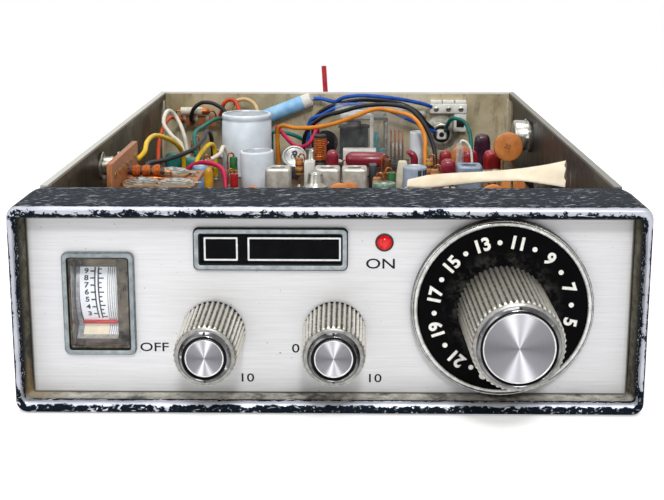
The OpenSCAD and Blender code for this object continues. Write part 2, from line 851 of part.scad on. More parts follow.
module badge_plate() {
  color("#101012")
    translate([badge_x, 0, badge_z])
      slab(panel_y - badge_proud / 2, panel_y)
        square([badge_w, badge_h] - 2 * (badge_border + fit_gap) * [1, 1], center = true);
}

module lamp_lens() {
  dome = 1.1;
  color("#d01818")
    on_panel(lamp_x, lamp_z)
      rotate_extrude()
        intersection() {
          translate([0, dome - lamp_r])
            circle(lamp_r);
          translate([0, -panel_t - subpanel_t])
            square([lamp_r, 2 * lamp_r + panel_t + subpanel_t]);
        }
  color("#d01818")
    on_panel(lamp_x, lamp_z)
      translate([0, 0, -panel_t - subpanel_t])
        cylinder(h = panel_t + subpanel_t + dome - lamp_r + eps, r = lamp_r);
}

module lamp_holder() {
  holder_r = 3;
  holder_len = 12;
  color("#2b2b2b")
    on_panel(lamp_x, lamp_z)
      translate([0, 0, -panel_t - subpanel_t - holder_len]) {
        cylinder(h = holder_len, r = holder_r);
        translate([0, 0, holder_len - 1])
          cylinder(h = 1, r = holder_r + 1.5);
      }
}

// Fluted knob: collar, flutes, bevelled nose and a seat for the insert disc
module knob(r, length, back, n, cap_r, bore_to) {
  nose = 2.6;
  nose_r = r - flute_depth - 0.1;
  collar = 1.6;
  collar_r = r + 0.2;
  groove = 0.9;
  difference() {
    union() {
      translate([0, 0, back])
        cylinder(h = collar, r = collar_r);
      translate([0, 0, back + collar - eps])
        linear_extrude(length - back - collar - nose + 2 * eps)
          polygon(fluted(r, n));
      translate([0, 0, length - nose])
        rotate_extrude()
          polygon([[0, 0], [nose_r, 0], [nose_r, nose * 0.35], [cap_r + groove, nose], [0, nose]]);
    }
    translate([0, 0, length - cap_t])
      cylinder(h = cap_t + 1, r = cap_r + groove / 2);
    translate([0, 0, back - 1])
      cylinder(h = bore_to - back + 1, r = shaft_r + run_gap);
    translate([0, 0, back - 1])
      cylinder(h = skirt_depth - back + 1, r = skirt_bore_r);
  }
}

module knob_cap(length, cap_r) {
  translate([0, 0, length - cap_t])
    cylinder(h = cap_t, r = cap_r);
}

module control_shaft() {
  translate([0, 0, -shaft_in])
    cylinder(h = shaft_in + shaft_out, r = shaft_r);
}

// Potentiometer: round body behind the subpanel, threaded bushing through both panels
module pot(extra) {
  back = panel_t + subpanel_t;
  difference() {
    union() {
      translate([0, 0, -back - pot_d])
        cylinder(h = pot_d, r = pot_r);
      translate([0, 0, -back - eps])
        cylinder(h = back + bushing_out + eps, r = bushing_r);
      if (extra > 0)
        translate([0, 0, -back - pot_d - extra])
          cylinder(h = extra + eps, r = pot_r - 1);
      for (i = [-1, 0, 1])
        translate([i * 4 - 0.75, -pot_r - 5, -back - 3])
          cube([1.5, 8, 0.8]);
    }
    translate([0, 0, -shaft_in - 0.5])
      cylinder(h = shaft_in + bushing_out + 2, r = shaft_r + run_gap);
  }
}

module volume_knob() {
  color("#b9b4a4")
    on_panel(volume_x, control_z)
      knob(knob_r, knob_len, knob_skirt_gap, knob_flutes, knob_cap_r, shaft_out + shaft_end_gap);
}

module volume_knob_cap() {
  color("#d4d5d6")
    on_panel(volume_x, control_z)
      knob_cap(knob_len, knob_cap_r);
}

module volume_shaft() {
  color("#c8c8c4")
    on_panel(volume_x, control_z)
      control_shaft();
}

module volume_pot() {
  color("#9a9a94")
    on_panel(volume_x, control_z)
      pot(power_switch_d);
}

module squelch_knob() {
  color("#b9b4a4")
    on_panel(squelch_x, control_z)
      knob(knob_r, knob_len, knob_skirt_gap, knob_flutes, knob_cap_r, shaft_out + shaft_end_gap);
}

module squelch_knob_cap() {
  color("#d4d5d6")
    on_panel(squelch_x, control_z)
      knob_cap(knob_len, knob_cap_r);
}

module squelch_shaft() {
  color("#c8c8c4")
    on_panel(squelch_x, control_z)
      control_shaft();
}

module squelch_pot() {
  color("#9a9a94")
    on_panel(squelch_x, control_z)
      pot(0);
}

module control_nuts() {
  color("#b08d4c")
    for (p = [[volume_x, control_z], [squelch_x, control_z], [dial_x, dial_z]])
      on_panel(p[0], p[1])
        difference() {
          cylinder(h = nut_t, r = nut_r, $fn = 6);
          translate([0, 0, -1])
            cylinder(h = nut_t + 2, r = bushing_r + run_gap);
        }
}

module channel_knob() {
  color("#b9b4a4")
    on_panel(dial_x, dial_z)
      knob(channel_knob_r, channel_knob_len, dial_face, channel_flutes, channel_cap_r,
        channel_shaft_out + shaft_end_gap);
}

module channel_knob_cap() {
  color("#d4d5d6")
    on_panel(dial_x, dial_z)
      knob_cap(channel_knob_len, channel_cap_r);
}

module channel_dial() {
  color("#131315")
    on_panel(dial_x, dial_z)
      translate([0, 0, dial_gap])
        difference() {
          cylinder(h = dial_face - dial_gap, r = dial_face_r);
          translate([0, 0, -1])
            cylinder(h = dial_face + 2, r = skirt_bore_r);
        }
}

module dial_rim() {
  rim_rise = 0.3;
  color("#c9cacb")
    on_panel(dial_x, dial_z)
      translate([0, 0, dial_gap])
        difference() {
          cylinder(h = dial_face - dial_gap + rim_rise, r = dial_out_r);
          translate([0, 0, -1])
            cylinder(h = dial_face + 2, r = dial_face_r);
        }
}

module channel_rotor() {
  color("#c8c8c4")
    on_panel(dial_x, dial_z) {
      translate([0, 0, -rotor_end])
        cylinder(h = rotor_end + channel_shaft_out, r = shaft_r);
      for (d = wafer_depth)
        translate([0, 0, -d - wafer_t])
          cylinder(h = wafer_t, r = wafer_hole_r - move_gap);
    }
}

module channel_switch() {
  back = panel_t + subpanel_t;
  post_at = switch_r - 3;
  color("#8d8a7c")
    on_panel(dial_x, dial_z)
      difference() {
        union() {
          translate([0, 0, -back - index_d])
            cylinder(h = index_d, r = switch_r);
          translate([0, 0, -back - eps])
            cylinder(h = back + bushing_out + eps, r = bushing_r);
          for (d = wafer_depth)
            translate([0, 0, -d - wafer_t])
              difference() {
                cylinder(h = wafer_t, r = switch_r);
                translate([0, 0, -1])
                  cylinder(h = wafer_t + 2, r = wafer_hole_r);
              }
          for (s = [-1, 1])
            translate([s * post_at, 0, -wafer_depth[1] - wafer_t - 2])
              cylinder(h = wafer_depth[1] + wafer_t + 2 - back - 1, r = post_r);
        }
        translate([0, 0, -back - index_d - 1])
          cylinder(h = back + index_d + bushing_out + 2, r = shaft_r + run_gap);
      }
}

module main_board() {
  color("#8a6a35")
    difference() {
      span([-board_half, board_front, board_low], [board_half, board_back, board_z]);
      for (p = standoff_at)
        at_layout(p)
          translate([0, 0, -board_t - 1])
            cylinder(h = board_t + 2, r = screw_r + fit_gap);
    }
}

// Posts from the cover to the board, each with its screw through the board
module board_standoffs() {
  color("#a9a9a4")
    for (p = standoff_at)
      at_layout(p) {
        translate([0, 0, sheet_t - board_z])
          cylinder(h = board_low - sheet_t, r = standoff_r);
        translate([0, 0, -board_t - eps])
          cylinder(h = board_t + 2 * eps, r = screw_r);
        cylinder(h = screw_head_h, r = screw_head_r);
      }
}

// Upright round can with a rolled seam near its top
module round_can(r, h) {
  seam = 0.3;
  rotate_extrude()
    polygon([[0, 0], [r, 0], [r, h - 1.6], [r - seam, h - 1.2], [r, h - 0.8], [r, h - 0.3], [r - 0.3, h],
      [r - 1, h], [r - 1.3, h - 0.4], [0, h - 0.4]]);
}

module filter_capacitor() {
  color("#aeb4bb")
    on_board(filter_at)
      round_can(filter_r, filter_h);
}

module upright_capacitors() {
  color("#b4bac2")
    for (c = upright_at)
      on_board(c)
        round_can(c[2], c[3]);
}

// Two axial capacitors held at the rear panel: one on the tag strip, one strapped to the panel
module axial_capacitors() {
  cream_r = 1.7;
  cream_len = 13;
  cream_y = rear_in - tag_post - tag_strip[1] - cream_r;
  lead_x = cream_len / 2 + 1;
  drop = axial_at[1] - strip_at[1];
  color("#e6dfca")
    translate([axial_at[0], cream_y, axial_at[1]]) {
      bar_x(-cream_len / 2, cream_len / 2, cream_r);
      bar_x(-lead_x - lead_r, lead_x + lead_r, lead_r);
      for (s = [-1, 1])
        translate([s * lead_x, 0, -drop - lead_r]) {
          cylinder(h = drop + 2 * lead_r, r = lead_r);
          translate([0, 0, lead_r])
            rotate([-90, 0, 0])
              cylinder(h = cream_r, r = lead_r);
        }
    }
  color("#7fb2e0")
    translate([blue_at[0], rear_in - blue_r, blue_at[1]])
      rotate([0, -blue_tilt, 0])
        bar_x(-blue_len / 2, blue_len / 2, blue_r);
}

module coil_cans() {
  slug_r = 2;
  color("#a6a8a6")
    for (p = can_at)
      on_board(p)
        difference() {
          linear_extrude(can_h)
            round_rect(can_w, can_w, 1);
          translate([0, 0, can_h - 3])
            cylinder(h = 4, r = slug_r);
        }
}

module crystals() {
  color("#b9b9b4")
    for (i = [0 : crystal_cols - 1], j = [0 : crystal_rows - 1])
      on_board(crystal_start + crystal_pitch * [i, j])
        linear_extrude(crystal_h)
          round_rect(crystal_w, crystal_t, crystal_t / 2 - eps);
}

// Dipped capacitors, the box capacitor and the capsule
module film_capacitors() {
  dip_round = 0.2;
  capsule_half = capsule_len / 2 - capsule_r;
  color("#7d2730") {
    for (c = dipped_at)
      on_board(c)
        linear_extrude(c[4])
          round_rect(c[2], c[3], min(c[2], c[3]) / 2 - dip_round);
    on_board(film_at)
      translate([0, 0, film_box[2] / 2])
        cube(film_box, center = true);
    on_board(capsule_at) {
      translate([0, 0, capsule_lift])
        bar_x(-capsule_half, capsule_half, capsule_r);
      for (s = [-1, 1]) {
        translate([s * capsule_half, 0, capsule_lift])
          sphere(capsule_r);
        translate([s * capsule_len / 4, 0, 0])
          cylinder(h = capsule_lift, r = lead_r);
      }
    }
  }
}

// Ceramic discs standing on two leads, and the large one on long leads
module disc_capacitors() {
  disc_t = 2.2;
  lift = 3;
  color("#d9792f") {
    for (c = disc_at)
      on_board(c) {
        translate([0, disc_t / 2, lift + c[2] / 2])
          rotate([90, 0, 0])
            cylinder(h = disc_t, r = c[2] / 2);
        for (s = [-1, 1])
          translate([s * c[2] / 4, 0, 0])
            cylinder(h = lift + c[2] / 4, r = lead_r);
      }
    on_board(big_disc_at) {
      translate([0, big_disc_t / 2, big_disc_lift])
        rotate([90, 0, 0])
          cylinder(h = big_disc_t, r = big_disc_r);
      for (s = [-1, 1])
        translate([s * big_disc_r / 2, 0, 0])
          cylinder(h = big_disc_lift, r = lead_r);
    }
  }
}

// Resistors standing on end
module resistors() {
  body_r = 1.5;
  body_h = 7;
  lift = 4.4;
  color("#b5814a")
    for (p = resistor_at)
      on_board(p) {
        cylinder(h = lift + eps, r = lead_r);
        translate([0, 0, lift])
          cylinder(h = body_h, r = body_r);
      }
}

// Transistors in hat-shaped metal cans, and the output transistor
module transistors() {
  hat_r = 3.6;
  hat_h = 6;
  hat_round = 0.6;
  brim_r = 4.1;
  brim_t = 0.8;
  pin_ring = 1.8;
  color("#a9a8a2")
    power_transistor();
  color("#a9a8a2")
    for (p = hat_at)
      on_board(p) {
        translate([0, 0, p[2]])
          rotate_extrude()
            polygon([[0, 0], [brim_r, 0], [brim_r, brim_t], [hat_r, brim_t], [hat_r, hat_h - hat_round],
              [hat_r - hat_round, hat_h], [0, hat_h]]);
        for (a = [0, 120, 240])
          rotate([0, 0, a])
            translate([pin_ring, 0, 0])
              cylinder(h = p[2] + eps, r = lead_r);
      }
}

// Output transistor on the right plate, its flat flange against the steel
module power_transistor() {
  flange_t = 1.6;
  flange_half = 8;
  can_r = 6;
  can_h = 5;
  x = side_in - flange_t;
  translate([0, power_at[0] + layout_shift[1], power_at[1]]) {
    translate([x, 0, 0])
      rotate([0, 90, 0])
        linear_extrude(flange_t)
          round_rect(2 * can_r, 2 * flange_half, 3);
    bar_x(x - can_h, x + eps, can_r);
  }
}

// Points of a winding of n turns of radius r round Z
function winding(n, r) =
  [for (i = [0 : n * ring_steps])
    let (a = 360 * i / ring_steps)
      [r * cos(a), r * sin(a), i / ring_steps * turn_pitch]];

// Least gap between a winding's turns, over points more than half a turn apart
function turn_gap(p) =
  min([for (i = [0 : len(p) - 1], j = [i + ring_steps / 2 + 1 : len(p) - 1])
    norm(p[i] - p[j]) - 2 * turn_wire_r]);

// One unbroken turned wire, sunk a little into its former
module turns(n, r) {
  path = winding(n, r + turn_wire_r - turn_sink);
  echo(least_gap_between_turns = turn_gap(path));
  tube(path, turn_wire_r, 6);
}

// Wound choke over the filter board, the upright coil and the lying can
module rf_coils() {
  lead_tail = 3;
  foot = edge_board_t + filter_board_lift;
  base_h = 6;
  base_r = 2.8;
  coil_h = 17;
  lying_r = 5;
  lying_len = 5;
  lying_lift = 7.6;
  lying_lean = 50;
  color("#b5622e") {
    on_board(choke_at)
      translate([0, 0, choke_lift]) {
        bar_x(-1, choke_len + lead_tail, lead_r);
        bar_x(0, choke_len, former_r);
        translate([(choke_len - choke_turns * turn_pitch) / 2, 0, 0])
          rotate([0, 90, 0])
            turns(choke_turns, former_r);
        translate([choke_len + lead_tail - lead_r, 0, foot - choke_lift])
          cylinder(h = choke_lift - foot + lead_r, r = lead_r);
      }
    on_board(coil_at) {
      cylinder(h = base_h, r = base_r);
      translate([0, 0, base_h - eps])
        cylinder(h = coil_h - base_h, r = coil_former_r);
      translate([0, 0, base_h + 2 * turn_wire_r])
        turns(coil_turns, coil_former_r);
    }
    on_board(lying_at) {
      cylinder(h = lying_len, r = lying_r - 3);
      translate([0, 0, lying_lift])
        rotate([lying_lean, 0, 0])
          cylinder(h = lying_len, r = lying_r, center = true);
    }
  }
}

// Compression trimmers: insulating base, sprung leaf and adjusting screw
module trimmer(size) {
  leaf_t = 0.5;
  leaf_lift = 1.2;
  leaf_r = size[1] / 2 - 0.6;
  stem_r = 2.4;
  screw_top = 1.2;
  translate([0, 0, size[2] / 2])
    cube(size, center = true);
  translate([0, 0, size[2] - eps]) {
    cylinder(h = leaf_lift + eps, r = stem_r);
    translate([0, 0, leaf_lift])
      cylinder(h = leaf_t, r = leaf_r);
    translate([0, 0, leaf_lift + leaf_t - eps])
      cylinder(h = screw_top, r = stem_r - 0.6);
  }
}

module mica_trimmers() {
  leaf_base = [10.8, 8, 9];
  glass_r = 4.1;
  glass_t = 2.4;
  glass_stem_r = 1.5;
  glass_lift = 9;
  color("#b0a98f") {
    for (p = trimmer_at)
      on_board(p)
        translate([0, 0, filter_board_lift + edge_board_t])
          trimmer(trimmer_size);
    on_board(leaf_trimmer_at)
      trimmer(leaf_base);
    on_board(glass_trimmer_at) {
      cylinder(h = glass_lift, r = glass_stem_r);
      translate([0, 0, glass_lift - eps])
        cylinder(h = glass_t, r = glass_r);
    }
  }
}

// Edge board and filter board at the left, and the tag strip on the rear panel
module terminal_boards() {
  post_r = 2;
  tag_post_x = 9;
  tag_post_r = 1.5;
  color("#96572f") {
    on_board([edge_board_x, 0]) {
      span([0, edge_board_y[0], 0], [edge_board_t, edge_board_y[1], edge_board_h]);
      translate([edge_board_t, 0, 0]) {
        span([-eps, filter_board_y[0], filter_board_lift],
          [filter_board_w, filter_board_y[1], filter_board_lift + edge_board_t]);
        translate(filter_post_at)
          cylinder(h = filter_board_lift + eps, r = post_r);
      }
    }
    translate([strip_at[0], rear_in - tag_post - tag_strip[1] / 2, strip_at[1]])
      cube(tag_strip, center = true);
    for (s = [-1, 1])
      on_rear(strip_at[0] + s * tag_post_x, strip_at[1])
        translate([0, 0, -tag_post - eps])
          cylinder(h = tag_post + eps, r = tag_post_r);
  }
}

// Relay base with the yoke, core, winding and contact leaves
module relay_base() {
  base_top = board_z + relay_base_t;
  inner_w = relay_w - 2 * relay_wall - 2 * fit_gap;
  inner_d = relay_d - 2 * relay_wall - 2 * fit_gap;
  yoke_d = 10;
  yoke_toe = 4;
  leaf_pitch = 1.6;
  leaf_half = 3;
  leaf_t = 0.4;
  color("#4a4d55")
    translate([relay_at[0] * wide, relay_at[1] + layout_shift[1], 0])
      difference() {
        union() {
          translate([0, 0, board_z + relay_base_t / 2])
            cube([inner_w, inner_d, relay_base_t], center = true);
          span([relay_coil_x - yoke_toe, -yoke_d / 2, base_top - eps],
            [yoke_x + yoke_t, yoke_d / 2, base_top + yoke_t]);
          span([yoke_x, -yoke_d / 2, base_top], [yoke_x + yoke_t, yoke_d / 2, armature_z - move_gap]);
          for (s = [-1, 1])
            translate([yoke_x + yoke_t / 2, s * (yoke_d / 2 + 1.2), base_top])
              span([-yoke_t / 2 - 1, -0.7, -eps], [yoke_t / 2 + 1, 0.7, armature_z - base_top + 2.2]);
          translate([relay_coil_x, 0, base_top + yoke_t - eps])
            cylinder(h = relay_coil_h, r = relay_coil_r);
          translate([relay_coil_x, 0, base_top + yoke_t])
            cylinder(h = relay_coil_h + 2, r = 3);
          for (i = [0 : 3])
            translate([yoke_x + yoke_t + (i + 1) * leaf_pitch, 0, base_top - eps])
              span([-leaf_t / 2, -leaf_half, 0], [leaf_t / 2, leaf_half, relay_coil_h]);
        }
        translate([yoke_x + yoke_t / 2, -relay_d, armature_z + armature_t / 2])
          rotate([-90, 0, 0])
            cylinder(h = 2 * relay_d, r = armature_pin_r + run_gap);
      }
}

module relay_cover() {
  color([0.85, 0.92, 0.97, 0.35])
    at_layout(relay_at)
      difference() {
        linear_extrude(relay_h)
          round_rect(relay_w, relay_d, 1.5);
        translate([0, 0, -1])
          linear_extrude(relay_h - relay_wall + 1)
            round_rect(relay_w - 2 * relay_wall, relay_d - 2 * relay_wall, 0.5);
      }
}

// Armature plate with its pivot pin in the yoke's ears
module relay_armature() {
  half_d = 4.8;
  ear_d = 5 + 1.2 + 0.7;
  color("#8f8d86")
    translate([relay_at[0] * wide, relay_at[1] + layout_shift[1], armature_z]) {
      span([relay_coil_x - 4.5, -half_d, 0], [yoke_x + yoke_t / 2, half_d, armature_t]);
      translate([yoke_x + yoke_t / 2, -ear_d, armature_t / 2])
        rotate([-90, 0, 0])
          cylinder(h = 2 * ear_d, r = armature_pin_r);
    }
}

// Speaker facing down on the bottom cover; heights are above the cover
module speaker_frame() {
  basket_top = speaker_d - magnet_h;
  rim_in = speaker_r - speaker_rim_w;
  rim_h = 4;
  gap_r = cone_neck_r + voice_gap;
  gap_depth = 5;
  basket_lap = 0.3;
  color("#6d6d6a")
    translate([0, speaker_y, sheet_t]) {
      rotate_extrude()
        polygon([[rim_in, 0], [speaker_r, 0], [speaker_r, rim_h], [magnet_r, basket_top],
          [gap_r + basket_lap, basket_top], [gap_r + basket_lap, basket_top - basket_t],
          [magnet_r - basket_lap, basket_top - basket_t], [rim_in, rim_h - basket_t]]);
      rotate_extrude()
        polygon([[0, basket_top + gap_depth], [gap_r, basket_top + gap_depth], [gap_r, basket_top - eps],
          [magnet_r, basket_top - eps], [magnet_r, speaker_d], [0, speaker_d]]);
      translate([0, 0, basket_top])
        cylinder(h = gap_depth + eps, r = cone_neck_r - 2 * voice_gap);
    }
}

module speaker_cone() {
  paper_t = 0.5;
  edge_r = speaker_r - speaker_rim_w - move_gap;
  neck_z = speaker_d - magnet_h - basket_t - 1.6;
  low = 0.9;
  coil_h = 4;
  coil_top = neck_z + coil_h;
  color("#3a3630")
    translate([0, speaker_y, sheet_t])
      rotate_extrude()
        polygon([[edge_r, low], [edge_r, low + paper_t], [cone_neck_r, neck_z], [cone_neck_r, coil_top],
          [cone_neck_r - paper_t, coil_top], [cone_neck_r - paper_t, neck_z - paper_t]]);
}

// Coaxial aerial socket: barrel outside, insulator and pin inside
module aerial_socket() {
  flange_t = 1.6;
  flange_w = 22;
  back_len = 4;
  back_r = 5;
  cup_floor = 3;
  cup_r = 5.8;
  pin_r = 3.4;
  pin_bore_r = 2;
  pin_short = 2;
  color("#b7b7b1")
    on_rear(aerial_at[0], aerial_at[1])
      difference() {
        union() {
          translate([0, 0, sheet_t])
            cylinder(h = aerial_len, r = aerial_r);
          translate([0, 0, -back_len])
            cylinder(h = sheet_t + back_len + eps, r = back_r);
          translate([0, 0, sheet_t])
            linear_extrude(flange_t)
              round_rect(flange_w, flange_w, 2);
        }
        translate([0, 0, sheet_t + cup_floor])
          cylinder(h = aerial_len, r = cup_r);
      }
  color("#e8e6dc")
    on_rear(aerial_at[0], aerial_at[1])
      translate([0, 0, sheet_t + cup_floor - eps])
        difference() {
          cylinder(h = aerial_len - cup_floor - pin_short, r = pin_r);
          translate([0, 0, 1])
            cylinder(h = aerial_len, r = pin_bore_r);
        }
}

// One jack: barrel through the sheet, inside body, outside nut
module jack(inside) {
  difference() {
    union() {
      translate([0, 0, -inside])
        cylinder(h = inside + sheet_t + jack_nose, r = jack_r);
      translate([0, 0, -jack_flange_t])
        cylinder(h = jack_flange_t, r = jack_flange_r);
      translate([0, 0, sheet_t])
        cylinder(h = jack_nut_t, r = jack_flange_r, $fn = 6);
    }
    translate([0, 0, -inside + 1])
      cylinder(h = inside + sheet_t + jack_nose, r = jack_bore_r);
  }
}

module jacks() {
  color("#bdbcb4") {
    translate([-side_in, jack_y + layout_shift[1], jack_z])
      rotate([0, -90, 0])
        jack(jack_in);
    for (x = rear_jack_x)
      on_rear(x, rear_jack_z)
        jack(rear_jack_in);
  }
}

module terminal_block() {
  color("#efeee8")
    translate([block_at[0], rear_in - block_size[1] / 2, block_at[1]])
      cube(block_size, center = true);
}

// Flat fibre sleeve over the board's front half, torn at its wide end
module insulating_strip() {
  foot = (sleeve_from[2] - layout_board) / part_scale;
  wide_from = 0.7 * sleeve_len;
  wide_at = 0.88 * sleeve_len;
  tear = 1.5;
  color("#e8d9b4")
    translate(wired(sleeve_from))
      scale(part_scale)
        rotate([0, 0, sleeve_turn]) {
          rotate([0, -sleeve_rise, 0])
            linear_extrude(sleeve_t)
              polygon([[0, -sleeve_w / 2], [wide_from, -sleeve_w / 2], [wide_at, -sleeve_end_w / 2],
                [sleeve_len - tear, tear - sleeve_end_w / 2], [sleeve_len, 0],
                [sleeve_len - tear, sleeve_end_w / 4], [wide_at, sleeve_end_w / 2],
                [wide_from, sleeve_w / 2], [0, sleeve_w / 2]]);
          for (d = sleeve_leads)
            translate([d, 0, -foot])
              cylinder(h = foot + d * tan(sleeve_rise) + sleeve_t / 2, r = lead_r);
        }
}

module hookup_wires() {
  color("#c9a227")
    for (route = wire_routes)
      tube(smooth([for (p = route) wired(p)], 2), wire_d / 2, 6);
}

// Rubber grommet in the rear panel, round the power lead
module power_grommet() {
  lip = 1.4;
  color("#1c1c1c")
    on_rear(grommet_at[0], grommet_at[1])
      difference() {
        union() {
          translate([0, 0, -lip])
            cylinder(h = lip, r = grommet_r + lip);
          cylinder(h = sheet_t, r = grommet_r - fit_gap);
          translate([0, 0, sheet_t])
            cylinder(h = lip, r = grommet_r + lip);
        }
        translate([0, 0, -lip - 1])
          cylinder(h = sheet_t + 2 * lip + 2, r = lead_d / 2 + fit_gap);
      }
}

module power_lead() {
  color("#c3202c")
    tube(smooth([for (p = lead_route) wired(p)], 2), lead_d / 2);
}

front_bezel();
front_panel();
front_subpanel();
left_side_plate();
right_side_plate();
rear_panel();
bottom_cover();
case_screws();
bracket_nuts();
meter_bezel();
meter_lens();
meter_housing();
meter_scale();
meter_movement();
meter_pointer();
badge_frame();
badge_plate();
lamp_lens();
lamp_holder();
volume_knob();
volume_knob_cap();
volume_shaft();
volume_pot();
squelch_knob();
squelch_knob_cap();
squelch_shaft();
squelch_pot();
control_nuts();
channel_knob();
channel_knob_cap();
channel_dial();
dial_rim();
channel_rotor();
channel_switch();
main_board();
board_standoffs();
filter_capacitor();
upright_capacitors();
axial_capacitors();
coil_cans();
crystals();
film_capacitors();
disc_capacitors();
resistors();
transistors();
rf_coils();
mica_trimmers();
terminal_boards();
relay_base();
relay_cover();
relay_armature();
speaker_frame();
speaker_cone();
aerial_socket();
jacks();
terminal_block();
insulating_strip();
hookup_wires();
power_grommet();
power_lead();
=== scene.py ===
import random
from math import atan2, cos, degrees, dist, exp, pi, radians, sin, tan, tau

import bmesh
import bpy
from mathutils import Matrix, Vector


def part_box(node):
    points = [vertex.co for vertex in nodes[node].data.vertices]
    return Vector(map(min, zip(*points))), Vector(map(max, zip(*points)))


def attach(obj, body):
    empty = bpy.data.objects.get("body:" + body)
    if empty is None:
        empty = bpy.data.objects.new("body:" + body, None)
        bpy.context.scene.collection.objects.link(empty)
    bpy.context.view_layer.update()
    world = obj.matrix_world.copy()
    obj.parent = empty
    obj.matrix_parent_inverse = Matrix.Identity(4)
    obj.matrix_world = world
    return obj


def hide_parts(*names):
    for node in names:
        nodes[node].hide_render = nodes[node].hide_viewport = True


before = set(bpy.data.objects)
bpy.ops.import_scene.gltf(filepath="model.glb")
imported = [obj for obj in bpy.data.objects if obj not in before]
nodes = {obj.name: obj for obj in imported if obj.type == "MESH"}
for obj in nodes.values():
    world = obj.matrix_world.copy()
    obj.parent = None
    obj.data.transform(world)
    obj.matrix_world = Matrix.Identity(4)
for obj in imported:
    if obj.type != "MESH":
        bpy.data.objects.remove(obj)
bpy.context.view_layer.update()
scene = bpy.context.scene
mm = 0.001
rng = random.Random(41)
print("frame loaded,", len(nodes), "nodes")


# sRGB hex to linear
def hexColor(text):
    parts = [int(text[i:i + 2], 16) / 255 for i in (1, 3, 5)]
    return tuple(c / 12.92 if c <= 0.04045 else ((c + 0.055) / 1.055) ** 2.4 for c in parts) + (1.0,)


# pattern scale for a feature of that many millimetres; object coordinates are in metres
def perMm(size):
    return 1000.0 / size


# links inputs to other nodes, or sets them; text stands for a colour
def feed(tree, node, inputs):
    for key, value in inputs.items():
        if isinstance(value, bpy.types.NodeSocket):
            tree.links.new(value, node.inputs[key])
        else:
            node.inputs[key].default_value = hexColor(value) if isinstance(value, str) else value


# adds one shader node with its inputs and settings, and gives back one of its outputs
def add(tree, kind, inputs=None, out=0, **settings):
    made = tree.nodes.new("ShaderNode" + kind)
    if kind == "Mix":  # of colours, each time
        made.data_type, out = "RGBA", "Result"
    for key, value in settings.items():
        setattr(made, key, value)
    feed(tree, made, inputs or {})
    return made.outputs[out]


# a material with plain numbers on its shader, its node tree, its shader and its coordinates
def startMaterial(name, sockets):
    made = bpy.data.materials.new(name)
    made.use_nodes = True
    tree = made.node_tree
    shader = tree.nodes["Principled BSDF"]
    feed(tree, shader, sockets)
    return made, tree, shader, add(tree, "TexCoord", out="Object")


# lays a colour over a tone where a mask runs from low to high
def layOver(tree, tone, mask, low, high, colour, most=1.0):
    share = add(tree, "MapRange", {"Value": mask, "From Min": low, "From Max": high, "To Max": most})
    return add(tree, "Mix", {"Factor": share, "A": tone, "B": colour})


# the strongest of several masks, each running from low to high
def anyOf(tree, masks, most=1.0):
    best = 0.0
    for mask, low, high in masks:
        share = add(tree, "MapRange", {"Value": mask, "From Min": low, "From Max": high, "To Max": most})
        best = add(tree, "Math", {0: best, 1: share}, operation="MAXIMUM")
    return best


# gives the shader its tone, a gloss that follows one pattern and a relief that follows another
def joinUp(tree, shader, tone, gloss, rough, height, depth, strength, full=1.0):
    feed(tree, shader, {
        "Base Color": tone,
        "Roughness": add(tree, "MapRange", {"Value": gloss, "From Max": full, "To Min": rough[0], "To Max": rough[1]}),
        "Normal": add(tree, "Bump", {"Height": height, "Distance": depth * mm, "Strength": strength}),
    })


# a finish with two tones in soft spots, uneven gloss and a fine grain in relief
def finish(name, light, dark, spot=2.0, rough=(0.35, 0.55), grain=0.25, relief=0.01, stretch=(1, 1, 1), mark=None,
           metal=0.0, shine=0.5, sockets=None):
    plain = {"Metallic": metal, "Specular IOR Level": shine, **(sockets or {})}
    made, tree, shader, coords = startMaterial(name, plain)
    drawn = add(tree, "Mapping", {"Vector": coords, "Scale": stretch})
    spots = add(tree, "TexNoise", {"Vector": drawn, "Scale": perMm(spot), "Detail": 5.0})
    tone = layOver(tree, dark, spots, 0.3, 0.7, light)
    if mark:  # scattered flecks of dirt or wear
        fleck, size, level = mark
        flecks = add(tree, "TexNoise", {"Vector": coords, "Scale": perMm(size), "Detail": 6.0, "Roughness": 0.7})
        tone = layOver(tree, tone, flecks, level, level + 0.06, fleck)
    fine = add(tree, "TexNoise", {"Vector": drawn, "Scale": perMm(grain), "Detail": 3.0})
    joinUp(tree, shader, tone, spots, rough, fine, relief, 0.6)
    return made


# finishes that share settings, by key: name, light and dark tone, and what is their own
def finishes(rows, **shared):
    return {key: finish(name, light, dark, **{**shared, **own}) for key, (name, light, dark, own) in rows.items()}


# geometry is gathered here, and becomes one piece with several materials
kit = {"verts": [], "faces": [], "mats": [], "finishes": [], "wearAndShading": []}


def put(shape, material, place=None, wearAndShading=0.0):
    verts, faces = shape
    base = len(kit["verts"])
    place = place or Matrix()
    kit["verts"] += [place @ Vector(v) for v in verts]
    kit["wearAndShading"] += wearAndShading if isinstance(wearAndShading, list) else [wearAndShading] * len(verts)
    kit["faces"] += [[base + i for i in f] for f in faces]
    if material not in kit["finishes"]:
        kit["finishes"].append(material)
    kit["mats"] += [kit["finishes"].index(material)] * len(faces)


